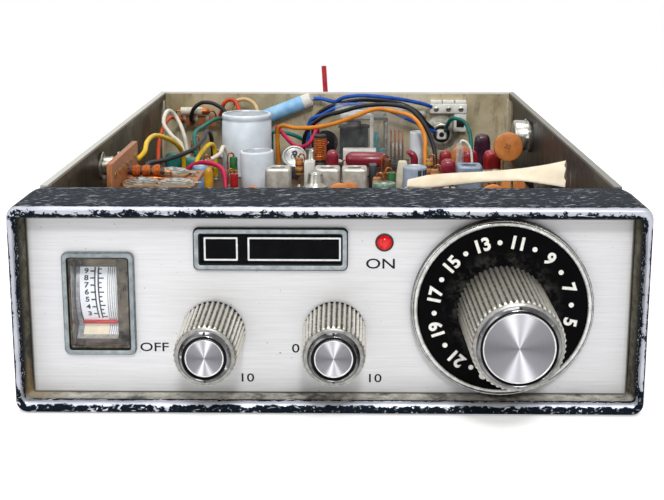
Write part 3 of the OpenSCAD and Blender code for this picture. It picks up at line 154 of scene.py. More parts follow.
# makes a piece of what was gathered, and starts afresh
def makePiece(name, stands=(), body="chassis", sharp=38, origin=None):
    shift = origin or Matrix()
    mesh = bpy.data.meshes.new(name)
    back = shift.inverted()
    mesh.from_pydata([back @ (v * mm) for v in kit["verts"]], [], kit["faces"])
    for m in kit["finishes"]:
        mesh.materials.append(m)
    mesh.polygons.foreach_set("material_index", kit["mats"])
    mesh.polygons.foreach_set("use_smooth", [True] * len(mesh.polygons))
    if any(kit["wearAndShading"]):
        mesh.attributes.new("wearAndShading", "FLOAT", "POINT").data.foreach_set("value", kit["wearAndShading"])
    solid = bmesh.new()
    solid.from_mesh(mesh)
    bmesh.ops.recalc_face_normals(solid, faces=solid.faces)
    solid.to_mesh(mesh)
    solid.free()
    mesh.set_sharp_from_angle(angle=radians(sharp))
    piece = bpy.data.objects.new(name, mesh)
    scene.collection.objects.link(piece)
    piece.matrix_world = shift
    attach(piece, body)
    if stands:
        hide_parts(*stands)
    for gathered in kit.values():
        gathered.clear()
    return piece


def at(x, y, z):
    return Matrix.Translation((x, y, z))


def turn(angle, axis):
    return Matrix.Rotation(radians(angle), 4, axis)


# local Z points out of the front panel
def onPanel(x, z):
    return at(x, panelY, z) @ turn(90, "X")


# local Z points out of the rear panel
def onRear(x, z):
    return at(x, rearIn, z) @ turn(-90, "X")


# circle, or a regular polygon, at height h
def circle(r, h, steps):
    return [(r * cos(tau * k / steps), r * sin(tau * k / steps), h) for k in range(steps)]


# shape turned round Z from (radius, height) pairs
def lathe(profile, steps):
    verts, faces, rings = [], [], []
    for r, h in profile:
        if r < 1e-6:
            rings.append([len(verts)])
            verts.append((0, 0, h))
        else:
            rings.append(list(range(len(verts), len(verts) + steps)))
            verts += circle(r, h, steps)
    for a, b in zip(rings, rings[1:]):
        for k in range(steps):
            n = (k + 1) % steps
            if len(a) == 1 and len(b) == 1:
                continue
            if len(a) == 1:
                faces.append([a[0], b[n], b[k]])
            elif len(b) == 1:
                faces.append([a[k], a[n], b[0]])
            else:
                faces.append([a[k], a[n], b[n], b[k]])
    return verts, faces


# turned shapes on one axis, each with its own finish
def turned(place, steps, *parts):
    for look, profile in parts:
        put(lathe(profile, steps), look, place)


# skin over loops of equal length, closed at the ends on request
def loft(loops, closeStart=False, closeEnd=False):
    count = len(loops[0])
    last = (len(loops) - 1) * count
    verts = [p for loop in loops for p in loop]
    faces = []
    for a in range(0, last, count):
        b = a + count
        faces += [[a + k, a + (k + 1) % count, b + (k + 1) % count, b + k] for k in range(count)]
    if closeStart:
        faces.append(list(range(count))[::-1])
    if closeEnd:
        faces.append(list(range(last, last + count)))
    return verts, faces


# rounded rectangle at height h
def roundLoop(w, d, r, h, corner=5):
    r = max(min(r, w / 2 - 1e-3, d / 2 - 1e-3), 1e-3)
    loop = []
    for q, (sx, sy) in enumerate([(1, 1), (-1, 1), (-1, -1), (1, -1)]):
        for i in range(corner + 1):
            a = radians(90 * q + 90 * i / corner)
            loop.append((sx * (w / 2 - r) + r * cos(a), sy * (d / 2 - r) + r * sin(a), h))
    return loop


# upright block with rounded corners and softened top and bottom edges
def block(w, d, h, r=1.0, soft=0.3, low=0.0):
    steps = [(soft, 0), (soft * 0.3, soft * 0.3), (0, soft), (0, h - soft), (soft * 0.3, h - soft * 0.3), (soft, h)]
    return loft([roundLoop(w - 2 * i, d - 2 * i, max(r - i, 0.05), low + z) for i, z in steps], True, True)


# curve through the points of a route
def smoothRoute(route, steps):
    pts = [Vector(p) for p in route]
    out = []
    for i in range(len(pts) - 1):
        a, b, c, d = pts[max(i - 1, 0)], pts[i], pts[i + 1], pts[min(i + 2, len(pts) - 1)]
        for s in range(steps):
            t = s / steps
            bend, twist = 2 * a - 5 * b + 4 * c - d, 3 * b - a - 3 * c + d
            out.append(0.5 * (2 * b + (c - a) * t + bend * t * t + twist * t ** 3))
    return out + [pts[-1]]


# round wire along points
def tube(points, radius, sides):
    pts = [Vector(p) for p in points]
    loops, side = [], None
    for i, p in enumerate(pts):
        t = (pts[min(i + 1, len(pts) - 1)] - pts[max(i - 1, 0)]).normalized()
        if side is None:
            side = t.cross(Vector((1, 0, 0)) if abs(t.z) > 0.9 else Vector((0, 0, 1)))
        side = (side - t * side.dot(t)).normalized()
        other = t.cross(side)
        r = radius[i] if isinstance(radius, list) else radius
        loops.append([p + r * (c * side + s * other) for c, s, _ in circle(1, 0, sides)])
    return loft(loops, True, True)


# letters or digits as flat solids, centred, local Z up
def lettering(text, height, thick, wide, bold):
    curve = bpy.data.curves.new("letters", "FONT")
    curve.body = text
    curve.align_x = curve.align_y = "CENTER"
    curve.size = height / 0.72  # capitals are about 0.72 of the font size
    curve.extrude = thick / 2
    curve.offset = bold * curve.size
    curve.resolution_u = 3
    holder = bpy.data.objects.new("letters", curve)
    scene.collection.objects.link(holder)
    bpy.context.view_layer.update()
    mesh = holder.to_mesh()
    verts = [(v.co.x * wide, v.co.y, v.co.z) for v in mesh.vertices]
    faces = [list(p.vertices) for p in mesh.polygons]
    bpy.data.objects.remove(holder)
    bpy.data.curves.remove(curve)
    return verts, faces


# main places, in millimetres, as in the solids; leads end a little way into the board
frontY, panelY, bezelBack = -120.0, -112.8, -94.5
rearIn, boardTop = 119.0, 26.0
leadFoot = boardTop - 0.1


# camera at the photograph's viewpoint
cameraSpec = {"place": (4.524, -407.616, 116.348), "down": 11.727, "left": 0.814, "lens": 65.07, "sensor": 36,
    "near": 0.01, "shift": (0.0024, -0.0796)}


def makeCamera():
    data = bpy.data.cameras.new("viewCamera")
    data.lens = cameraSpec["lens"]
    data.sensor_width = cameraSpec["sensor"]
    data.shift_x, data.shift_y = cameraSpec["shift"]
    data.clip_start = cameraSpec["near"]
    camera = bpy.data.objects.new("viewCamera", data)
    camera.location = [v * mm for v in cameraSpec["place"]]
    camera.rotation_euler = (radians(90 - cameraSpec["down"]), 0, radians(cameraSpec["left"]))
    scene.collection.objects.link(camera)
    scene.camera = camera


makeCamera()
print("camera ready")


# soft studio light on a pale floor, in metres; the world's two strengths are for lighting and for the eye
studioSpec = {
    "lights": {
        "key": {"at": (0.16, -0.95, 1.0), "size": 0.4, "power": 3.3},
        "glint": {"at": (0.06, -1.05, 0.78), "size": 0.12, "power": 5.6},
        "fill": {"at": (-0.8, -0.6, 0.6), "size": 0.7, "power": 2.6},
        "top": {"at": (-0.1, 0.05, 1.1), "size": 0.5, "power": 4.6},
    },
    "aim": (0, -0.02, 0.02), "world": (0.36, 1.0), "reach": 6.0, "drop": -0.0002, "lift": 0.42, "fade": (0.28, 0.8),
}


# 1 for rays that reach the eye, straight, by a mirror or through something clear
def seenRays(tree):
    seen = 0.0
    for ray in ("Is Camera Ray", "Is Glossy Ray", "Is Transmission Ray"):
        seen = add(tree, "Math", {0: seen, 1: add(tree, "LightPath", out=ray)}, operation="MAXIMUM")
    return seen


def makeWorld():
    world = bpy.data.worlds.new("studio")
    scene.world = world
    world.use_nodes = True
    tree = world.node_tree
    tree.nodes.clear()
    soft, white = (add(tree, "Background", {"Color": "#ffffff", "Strength": s}) for s in studioSpec["world"])
    mixed = add(tree, "MixShader", {0: seenRays(tree), 1: soft, 2: white})
    feed(tree, tree.nodes.new("ShaderNodeOutputWorld"), {"Surface": mixed})


def makeLights():
    for name, spec in studioSpec["lights"].items():
        lamp = bpy.data.lights.new(name, "AREA")
        lamp.energy, lamp.size = spec["power"], spec["size"]
        holder = bpy.data.objects.new(name, lamp)
        holder.location = spec["at"]
        aim = Vector(studioSpec["aim"]) - Vector(spec["at"])
        holder.rotation_euler = aim.to_track_quat("-Z", "Y").to_euler()
        scene.collection.objects.link(holder)


# pale paper: white to the eye, with the part's soft shadow left on it
def makeFloor():
    paper, tree, shader, coords = startMaterial("palePaper", {"Base Color": (0.9, 0.9, 0.9, 1), "Roughness": 0.9})
    seen = seenRays(tree)
    lift = add(tree, "Math", {0: seen, 1: studioSpec["lift"]}, operation="MULTIPLY")
    glow, white = (add(tree, "Emission", {"Color": "#ffffff", "Strength": strength}) for strength in (lift, 1.0))
    near = add(tree, "AddShader", {0: shader.outputs[0], 1: glow})
    away = add(tree, "VectorMath", {0: coords}, out="Value", operation="LENGTH")
    start, end = studioSpec["fade"]
    far = add(tree, "MapRange", {"Value": away, "From Min": start, "From Max": end}, interpolation_type="SMOOTHSTEP")
    share = add(tree, "Math", {0: far, 1: seen}, operation="MULTIPLY")
    spread = add(tree, "MixShader", {0: share, 1: near, 2: white})
    feed(tree, tree.nodes["Material Output"], {"Surface": spread})
    mesh = bpy.data.meshes.new("floor")
    reach = studioSpec["reach"]
    mesh.from_pydata([(x * reach, y * reach, 0) for x, y in ((-1, -1), (1, -1), (1, 1), (-1, 1))], [], [(0, 1, 2, 3)])
    mesh.materials.append(paper)
    floor = bpy.data.objects.new("floor", mesh)
    floor.location.z = studioSpec["drop"]
    scene.collection.objects.link(floor)


scene.view_settings.view_transform = "Standard"
makeWorld()
makeLights()
makeFloor()
print("studio ready")


# red power lead: cut off short behind the rear panel, as the photograph shows it
leadSpec = {
    "route": [(-5, 116, 32), (-5, 120, 32), (-5, 124, 32), (-5, 127, 33), (-5, 129, 36), (-5, 129, 41), (-5, 128, 48),
    (-5.5, 127, 57), (-6, 127, 65)],
    "thick": 2.2,
}


def makeLead():
    # extruded vinyl covering: smooth, a little faded
    vinyl = finish("redVinyl", "#cf2f3e", "#a81c2b", spot=6, rough=(0.3, 0.45), relief=0.004)
    points = smoothRoute(leadSpec["route"], 4)
    put(tube(points, leadSpec["thick"] / 2, 16), vinyl)
    piece = makePiece("powerLead", ["power_lead"])


makeLead()


# outline in the front view at depth y round height mid, with points along its long edges for the wear to change
def frontLoop(w, h, r, y, mid):
    loop = [(a, y, mid + b) for a, b, _ in roundLoop(w, h, r, 0, 7)]
    full = []
    for a, b in zip(loop, loop[1:] + loop[:1]):
        shares = (0, 0.1, 0.5, 0.9) if dist(a, b) > 20 else (0,)
        full += [tuple(p + (q - p) * t for p, q in zip(a, b)) for t in shares]
    return full


# enamel that is rubbed through to bright die casting where the wear is high, with fine light scratches
def wornEnamel(name, light, dark, metal, scratch):
    made, tree, shader, coords = startMaterial(name, {"Specular IOR Level": 0.01})
    wearAndShading = add(tree, "Attribute", out="Fac", attribute_name="wearAndShading")
    blotch = add(tree, "TexNoise", {"Vector": coords, "Scale": perMm(7), "Detail": 4.0})
    paint = add(tree, "Mix", {"Factor": blotch, "A": dark, "B": light})
    dust = add(tree, "TexNoise", {"Vector": coords, "Scale": perMm(0.7), "Detail": 4.0, "Roughness": 0.7})
    masks = [(dust, 0.7, 0.75)]
    for angle, size, cut in ((0.5, 0.42, 0.665), (-0.35, 0.5, 0.675), (0.06, 0.36, 0.67)):  # scratches three ways
        along = {"Vector": coords, "Scale": (9, 1, 2), "Rotation": (0, 0, angle)}
        drawn = add(tree, "Mapping", along, vector_type="TEXTURE")
        lines = add(tree, "TexNoise", {"Vector": drawn, "Scale": perMm(size), "Detail": 1.5})
        masks.append((lines, cut, cut + 0.05))
    faded = add(tree, "MapRange", {"Value": blotch, "From Min": 0.36, "From Max": 0.62, "To Min": 0.25})
    marks = add(tree, "Math", {0: anyOf(tree, masks), 1: faded}, operation="MULTIPLY")
    paint = add(tree, "Mix", {"Factor": marks, "A": paint, "B": scratch})
    chips = add(tree, "TexNoise", {"Vector": coords, "Scale": perMm(1.7), "Detail": 5.0, "Roughness": 0.66})
    patch = add(tree, "TexNoise", {"Vector": coords, "Scale": perMm(8), "Detail": 2.0})
    both = add(tree, "Math", {0: patch, 1: 0.7, 2: chips}, operation="MULTIPLY_ADD")
    rubbed = add(tree, "Math", {0: wearAndShading, 1: 0.8, 2: both}, operation="MULTIPLY_ADD")
    bare = add(tree, "MapRange", {"Value": rubbed, "From Min": 1.47, "From Max": 1.51})
    bright = add(tree, "Mix", {"Factor": patch, "A": "#8f939d", "B": metal})
    tone = add(tree, "Mix", {"Factor": bare, "A": paint, "B": bright})
    level = add(tree, "Math", {0: bare, 1: -0.6, 2: dust}, operation="MULTIPLY_ADD")
    joinUp(tree, shader, tone, dust, (0.25, 0.55), level, 0.06, 0.8)
    feed(tree, shader, {"Metallic": add(tree, "Math", {0: bare, 1: 0.8}, operation="MULTIPLY")})
    return made


# dust held by oil in the recess: olive grey on the sides, paler on the sill, browned in one corner; the darker sides
# are partly painted shade, and the near black laid by the wear and shading level is painted shade
def settledGrime(name):
    made, tree, shader, coords = startMaterial(name, {"Specular IOR Level": 0.2})
    wearAndShading = add(tree, "Attribute", out="Fac", attribute_name="wearAndShading")
    spots = add(tree, "TexNoise", {"Vector": coords, "Scale": perMm(2.6), "Detail": 7.0, "Roughness": 0.7})
    sides = layOver(tree, "#332f25", spots, 0.36, 0.64, "#767160")
    sill = layOver(tree, "#8f8c82", spots, 0.36, 0.64, "#cecbc1")
    high = add(tree, "SeparateXYZ", {0: coords}, out=2)
    tone = layOver(tree, sides, high, 4.6 * mm, 3.6 * mm, sill)
    swept = add(tree, "TexNoise", {"Vector": coords, "Scale": perMm(11), "Detail": 5.0, "Roughness": 0.65})
    tone = layOver(tree, tone, swept, 0.54, 0.64, "#2a2822", 0.8)
    corner = (-76 * mm, -115.5 * mm, 4.5 * mm)
    away = add(tree, "VectorMath", {0: coords, 1: corner}, out="Value", operation="DISTANCE")
    close = add(tree, "MapRange", {"Value": away, "From Min": 10 * mm, "From Max": 1 * mm})
    even = add(tree, "MapRange", {"Value": spots, "From Min": 0.36, "From Max": 0.64})
    brown = add(tree, "Math", {0: close, 1: even}, operation="MULTIPLY")
    # a real stain browns the corner; the near black where the level is high is painted shade
    for share, colour in ((brown, "#9c8150"), (wearAndShading, "#14130f")):
        tone = add(tree, "Mix", {"Factor": share, "A": tone, "B": colour})
    joinUp(tree, shader, tone, spots, (0.55, 0.9), spots, 0.05, 0.6)
    return made


# die-cast front frame: enamel worn through along the rim, with painted highlight lines on its edges, and grime settled
# in the recess, with painted shade
bezelSpec = {"wide": 160.0, "tall": 54.0, "corner": 3.0, "recessTop": (155.8, 47.8), "recessFloor": 153.6,
    "recessMid": 27.1, "pocket": (155.3, 49.6)}


def makeBezel():
    w, h, r = bezelSpec["wide"], bezelSpec["tall"], bezelSpec["corner"]
    enamel = wornEnamel("blackEnamel", "#1c2530", "#0a0f16", "#c8c9d3", "#eef2f6")
    grime = settledGrime("recessGrime")
    pw, ph = bezelSpec["pocket"]
    tw, th = bezelSpec["recessTop"]
    mid, floorW = bezelSpec["recessMid"], bezelSpec["recessFloor"]
    # width, height, corner, depth, middle, and the wear along the foot, the sides and the top; the high values on the
    # top edge's roundover and the foot's inner edge are painted highlight lines as well as wear
    rows = [
        (pw, ph, 0.6, panelY, 27, 0, 0, 0), (pw, ph, 0.6, bezelBack, 27, 0.1, 0.1, 0.1),
        (pw + 0.4, h - 0.9, 2.2, bezelBack, 27, 0.5, 0.5, 0.5),
        (156.6, h - 0.3, 2.8, bezelBack + 0.02, 27, 0.55, 0.55, 0.55), (158.2, h, r, -95.0, 27, 0.4, 0.4, 0.4),
        (159.4, h, r, -96.6, 27, 0.2, 0.2, 0.2), (w, h, r, -99.5, 27, 0.1, 0.1, 0.1),
        (w, h, r, -106, 27, 0.05, 0.05, 0.05), (w, h, r, -112, 27, 0.05, 0.05, 0.05),
        (w, h, r, -117.4, 27, 0.1, 0.1, 0.15), (w - 0.08, h - 0.08, r, -118.5, 27, 0.05, 0.1, 0.5),
        (w - 0.35, h - 0.35, r - 0.1, -119.2, 27, 0.2, 0.1, 1.15),
        (w - 0.85, h - 0.85, r - 0.35, -119.7, 27, 0.62, 0.35, 1.05),
        (w - 1.5, h - 1.6, r - 0.6, -119.95, 27, 0.6, 0.85, 0.92),
        (w - 2.1, h - 2.5, r - 0.8, frontY, 27, 0.55, 1.05, 0.86),
        (w - 2.8, h - 3.6, r - 1.1, -119.9, 27.02, 0.62, 1.08, 0.76),
        (w - 3.3, h - 4.6, r - 1.4, -119.6, 27.05, 0.78, 1.0, 0.55),
        (w - 3.8, h - 5.5, r - 1.6, -119.2, 27.08, 1.25, 0.72, 0.2),
        (tw + 0.05, th + 0.05, 1.1, -118.7, mid, 0.9, 0.1, 0.1), (tw, th, 1.0, -118.0, mid, 0.5, 0, 0),
        (tw - 0.2, th, 0.95, -117.5, mid, 0.4, 0, 0),
    ]
    loops = [frontLoop(*row[:5]) for row in rows]
    wornAndLit = []
    for row, loop in zip(rows, loops):
        for v in loop:
            rise, crest = (min(1.0, max(0.0, (v[2] - z) / 4)) for z in (3.5, 46.0))
            wornAndLit.append(row[5] * (1 - rise) + row[6] * rise * (1 - crest) + row[7] * crest)
    put(loft(loops), enamel, wearAndShading=wornAndLit)
    # the recess narrows to the panel, with painted shade behind the lip and along the panel, weaker on the sill
    depths, levels = (0, 0.12, 0.35, 0.6, 0.82, 0.91, 1.0), (1.0, 0.8, 0.3, 0.0, 0.1, 0.85, 1.0)
    inner = []
    for t in depths:
        wide, deep = tw - 0.2 + (floorW - tw + 0.2) * t, -117.5 + t * (panelY + 117.5)
        inner.append(frontLoop(wide, th, 0.95 - 0.55 * t, deep, mid))
    dirtAndShade = [level if v[2] > 5 else level * 0.3 for level, loop in zip(levels, inner) for v in loop]
    put(loft(inner), grime, wearAndShading=dirtAndShade)
    put(loft([inner[-1], loops[0]]), grime)
    makePiece("frontBezel", ["front_bezel"])


makeBezel()
print("bezel ready")


# brushed aluminium: long fine lines across the panel, near white, a little soiled at its edges
def brushedAluminium(name, light, dark, soil):
    made, tree, shader, coords = startMaterial(name, {"Metallic": 0.3})
    drawn = add(tree, "Mapping", {"Vector": coords, "Scale": (0.035, 1, 1)})
    lines = add(tree, "TexNoise", {"Vector": drawn, "Scale": perMm(0.42), "Detail": 3.0, "Roughness": 0.6})
    tone = layOver(tree, dark, lines, 0.25, 0.7, light)
    across, _, high = add(tree, "SeparateXYZ", {0: coords}, out=slice(3))
    side = add(tree, "Math", {0: across}, operation="ABSOLUTE")
    edge = anyOf(tree, [(side, 75.4 * mm, 77.0 * mm), (high, 3.7 * mm, 2.9 * mm)])
    spots = add(tree, "TexNoise", {"Vector": coords, "Scale": perMm(3), "Detail": 6.0, "Roughness": 0.7})
    dirty = add(tree, "Math", {0: edge, 1: spots}, operation="MULTIPLY")
    tone = add(tree, "Mix", {"Factor": dirty, "A": tone, "B": soil})
    # painted shade: a thin dark line where the panel meets the recess, along its sides, under the top lip and at its
    # foot
    seamShade = [(side, 76.3 * mm, 76.6 * mm), (high, 49.35 * mm, 49.6 * mm), (high, 3.65 * mm, 3.4 * mm)]
    tone = add(tree, "Mix", {"Factor": anyOf(tree, seamShade, 0.85), "A": tone, "B": "#2f2d28"})
    specks = add(tree, "TexNoise", {"Vector": coords, "Scale": perMm(1.1), "Detail": 4.0})
    tone = layOver(tree, tone, specks, 0.72, 0.76, "#4a463e", 0.55)
    joinUp(tree, shader, tone, lines, (0.36, 0.56), lines, 0.012, 0.5)
    return made


# gives a solid of the frame its finish
def dress(name, material):
    slots = nodes[name].data.materials
    for i in range(len(slots)):
        slots[i] = material


# the panel with its printed marks
marksSpec = {
    "ink": "#17171a",
    "words": [("OFF", -45.1, 15.4, 2.4), ("10", -21.4, 7.2, 2.3), ("0", -8.6, 15.2, 2.4), ("10", 11.6, 7.2, 2.3),
    ("ON", 13.1, 37.8, 2.7)],
}


def makePanelMarks():
    dress("front_panel", brushedAluminium("brushedAluminium", "#dddddf", "#cfcfd1", "#8a7d60"))
    # screen-printed ink: flat black, a little rubbed
    ink = finish("printInk", "#202024", marksSpec["ink"], spot=0.8, rough=(0.5, 0.7), relief=0.003, shine=0.15)
    for text, x, z, size in marksSpec["words"]:
        put(lettering(text, size, 0.05, 1.3, bold=0.008), ink, onPanel(x, z) @ at(0, 0, 0.025))
    makePiece("panelMarks", sharp=30)


makePanelMarks()
print("panel ready")


# cast frame from rows of inset, corner and height; each part names the rows that have one finish
def castFrame(place, w, h, rows, *parts):
    loops = [roundLoop(w - 2 * i, h - 2 * i, r, z, 6) for i, r, z in rows]
    for first, last, look in parts:
        put(loft(loops[first:last]), look, place)


# framed plate above the squelch knob, with thin border lines
badgeSpec = {"place": (-14.8, 41.8), "size": (39.2, 11.0), "border": 1.7, "proud": 1.4,
    "fields": [(-12.6, 8.6), (6.0, 23.6)]}


def makeBadge():
    w, h = badgeSpec["size"]
    e, top = badgeSpec["border"], badgeSpec["proud"]
    place = onPanel(*badgeSpec["place"])
    # satin die casting with dark rubbed spots
    metal = finish("badgeMetal", "#a9b0b3", "#7f878b", spot=1.6, rough=(0.3, 0.5), relief=0.02,
        mark=("#2f3236", 0.8, 0.63), metal=0.65)
    # edge paint: near black, rubbed grey on its corners
    edging = finish("edgePaint", "#24262a", "#131417", spot=1, rough=(0.4, 0.6), relief=0.006,
        mark=("#7d8286", 0.5, 0.66), shine=0.2)
    # black lacquer, polished, with dust
    lacquer = finish("blackLacquer", "#0f1013", "#070708", spot=3, rough=(0.3, 0.45), relief=0.004,
        mark=("#4c4d51", 0.35, 0.72), shine=0.03)
    # ink: flat and bright
    white = finish("whiteInk", "#eceded", "#d3d5d6", spot=1, rough=(0.4, 0.55), relief=0.003)
    rows = [(0, 1.4, 0), (0, 1.4, top - 0.4), (0.14, 1.3, top - 0.2), (0.3, 1.2, top - 0.04), (0.55, 1.0, top),
        (e - 0.55, 0.7, top), (e - 0.35, 0.6, top - 0.08), (e - 0.1, 0.55, top - 0.3), (e, 0.5, top - 0.5),
        (e, 0.5, 0.2)]
    castFrame(place, w, h, rows, (0, 4, edging), (3, 7, metal), (6, 10, edging))
    makePiece("badgeFrame", ["badge_frame"])
    face = 0.6
    put(loft([roundLoop(w - 2 * e, h - 2 * e, 0.4, z) for z in (0.05, face)], False, True), lacquer, place)
    for x, wide in badgeSpec["fields"]:
        outer, inner = roundLoop(wide, 6.1, 0.25, face + 0.04), roundLoop(wide - 0.9, 5.2, 0.15, face + 0.04)
        put(loft([roundLoop(wide, 6.1, 0.25, face), outer, inner, roundLoop(wide - 0.9, 5.2, 0.15, face)]), white,
            place @ at(x, 0, 0))
    makePiece("badgePlate", ["badge_plate"])


makeBadge()


# red lamp in its pressed collar
lampSpec = {"place": (14.0, 43.5), "radius": 2.1, "collar": 2.35}


def makeLamp():
    r = lampSpec["radius"]
    place = onPanel(*lampSpec["place"])
    # moulded clear red plastic: deep colour with a bright glint
    red = finish("redLens", "#e2141c", "#b40a12", rough=(0.06, 0.12), relief=0.002,
        sockets={"Transmission Weight": 0.25, "IOR": 1.49, "Emission Color": "#e01018", "Emission Strength": 0.25})
    # moulded collar: dark, half shiny
    dark = finish("collarPlastic", "#3a3436", "#221c1e", spot=1, rough=(0.3, 0.5), relief=0.004)
    dome = [((r - 0.2) * cos(t), 0.1 + 1.35 * sin(t)) for t in [radians(a) for a in range(0, 90, 10)]]
    put(lathe([(0, -1.6), (r - 0.25, -1.6), (r - 0.25, 0.0)] + dome + [(0, 1.45)], 40), red, place)
    makePiece("lampLens", ["lamp_lens"])
    rim = lampSpec["collar"]
    ring = [(r - 0.2, 0.02), (r - 0.2, 0.3), (r - 0.05, 0.42), (rim - 0.1, 0.36), (rim, 0.2), (rim, 0.0)]
    put(lathe(ring, 40), dark, place)
    makePiece("lampCollar")


makeLamp()
print("badge and lamp ready")


# knob with scalloped flutes, polished bevel and a black groove round its spun disc
smallKnob = {"base": 8.2, "front": 7.8, "from": 0.8, "to": 22.0, "flutes": 36, "groove": (4.72, 5.45), "disc": 4.7,
    "bevel": 1.7}
knobSpec = {
    "volume": {"place": (-29.6, 20.1), **smallKnob},
    "squelch": {"place": (1.4, 20.1), **smallKnob},
    "channel": {"place": (43.9, 27.0), "base": 11.5, "front": 11.05, "from": 3.0, "to": 34.0, "flutes": 50,
    "groove": (8.42, 8.95), "disc": 8.4, "bevel": 1.6},
}


# chrome plate over plastic: warm grey from handling, dirt left in the flutes
def flutedChrome(name, light, dark, dirtAndShade):
    made, tree, shader, coords = startMaterial(name, {"Metallic": 0.85})
    wearAndShading = add(tree, "Attribute", out="Fac", attribute_name="wearAndShading")
    spots = add(tree, "TexNoise", {"Vector": coords, "Scale": perMm(1.4), "Detail": 6.0, "Roughness": 0.7})
    tone = add(tree, "Mix", {"Factor": spots, "A": dark, "B": light})
    sunk = add(tree, "Math", {0: wearAndShading, 1: 0.75, 2: spots}, operation="MULTIPLY_ADD")
    tone = layOver(tree, tone, sunk, 0.8, 1.2, dirtAndShade, 0.95)
    specks = add(tree, "TexNoise", {"Vector": coords, "Scale": perMm(0.45), "Detail": 2.0})
    tone = layOver(tree, tone, specks, 0.68, 0.72, "#2b2822", 0.7)
    joinUp(tree, shader, tone, sunk, (0.16, 0.55), spots, 0.015, 0.4, full=1.4)
    return made


# aluminium turned on a lathe: rings too fine to see, drawn 0.16 mm wide, that spread light into two fans; the fans are
# also painted into its colour, as painted highlights
def spunAluminium(name, light, dark):
    plain = {"Metallic": 1.0, "Anisotropic": 0.88, "Anisotropic Rotation": 0.25, "Roughness": 0.42}
    made, tree, shader, coords = startMaterial(name, plain)
    flat = add(tree, "VectorMath", {0: coords, 1: (1, 1, 0)}, operation="MULTIPLY")
    away = add(tree, "VectorMath", {0: flat}, out="Value", operation="LENGTH")
    rings = add(tree, "TexNoise", {"W": away, "Scale": perMm(0.16), "Detail": 2.0}, noise_dimensions="1D")
    tone = add(tree, "Mix", {"Factor": rings, "A": dark, "B": light})
    unit = add(tree, "VectorMath", {0: flat}, operation="NORMALIZE")
    # painted highlight: angle, spread and colour of the two bright fans
    bright = (60.0, 0.62, "#f0f0f5")
    # painted highlights and shade: bright fans through the middle, with a glow between them and a dim fan across, fixed
    # to the disc
    paintedFans = ((91, 5.0, 0.25, "#bdbdc2"), (0, 14.0, 0.5, "#4e4d52"), (109, *bright), (74, *bright))
    for angle, sharp, strength, shine in paintedFans:
        lean = (cos(radians(angle)), sin(radians(angle)), 0)
        share = add(tree, "VectorMath", {0: unit, 1: lean}, out="Value", operation="DOT_PRODUCT")
        for operation, value in (("ABSOLUTE", 0.0), ("POWER", sharp), ("MULTIPLY", strength)):
            share = add(tree, "Math", {0: share, 1: value}, operation=operation)
        tone = add(tree, "Mix", {"Factor": share, "A": tone, "B": shine})
    feed(tree, shader, {
        "Base Color": tone,
        "Normal": add(tree, "Bump", {"Height": rings, "Distance": 0.004 * mm, "Strength": 0.35}),
        "Tangent": add(tree, "Tangent", direction_type="RADIAL", axis="Z"),
    })
    return made


def flutedWall(spec):
    per, depth = 8, 0.6
    steps = spec["flutes"] * per
    low, high = spec["from"], spec["to"] - spec["bevel"]
    heights = [low, low + 0.25] + [low + 0.25 + (high - low - 2.2) * i / 8 for i in range(1, 9)]
    heights += [high - 1.95 + 1.95 * i / 9 for i in range(1, 10)]
    loops, wearAndShading = [], []
    for h in heights:
        t = (h - low) / (high - low)
        full = spec["base"] + (spec["front"] - spec["base"]) * t
        cone = spec["front"] - 0.45 + (high - h) * 0.62
        loop = []
        for k in range(steps):
            phase = (k % per) / per
            dip = depth * (0.5 - 0.5 * cos(tau * phase)) ** 0.8
            r = min(full - dip - (0.18 if h == low else 0.0), cone)
            loop.append((r * cos(tau * k / steps), r * sin(tau * k / steps), h))
            wearAndShading.append(min(1.0, dip / depth) if full - dip <= cone else 0.0)
        loops.append(loop)
    return loops, wearAndShading


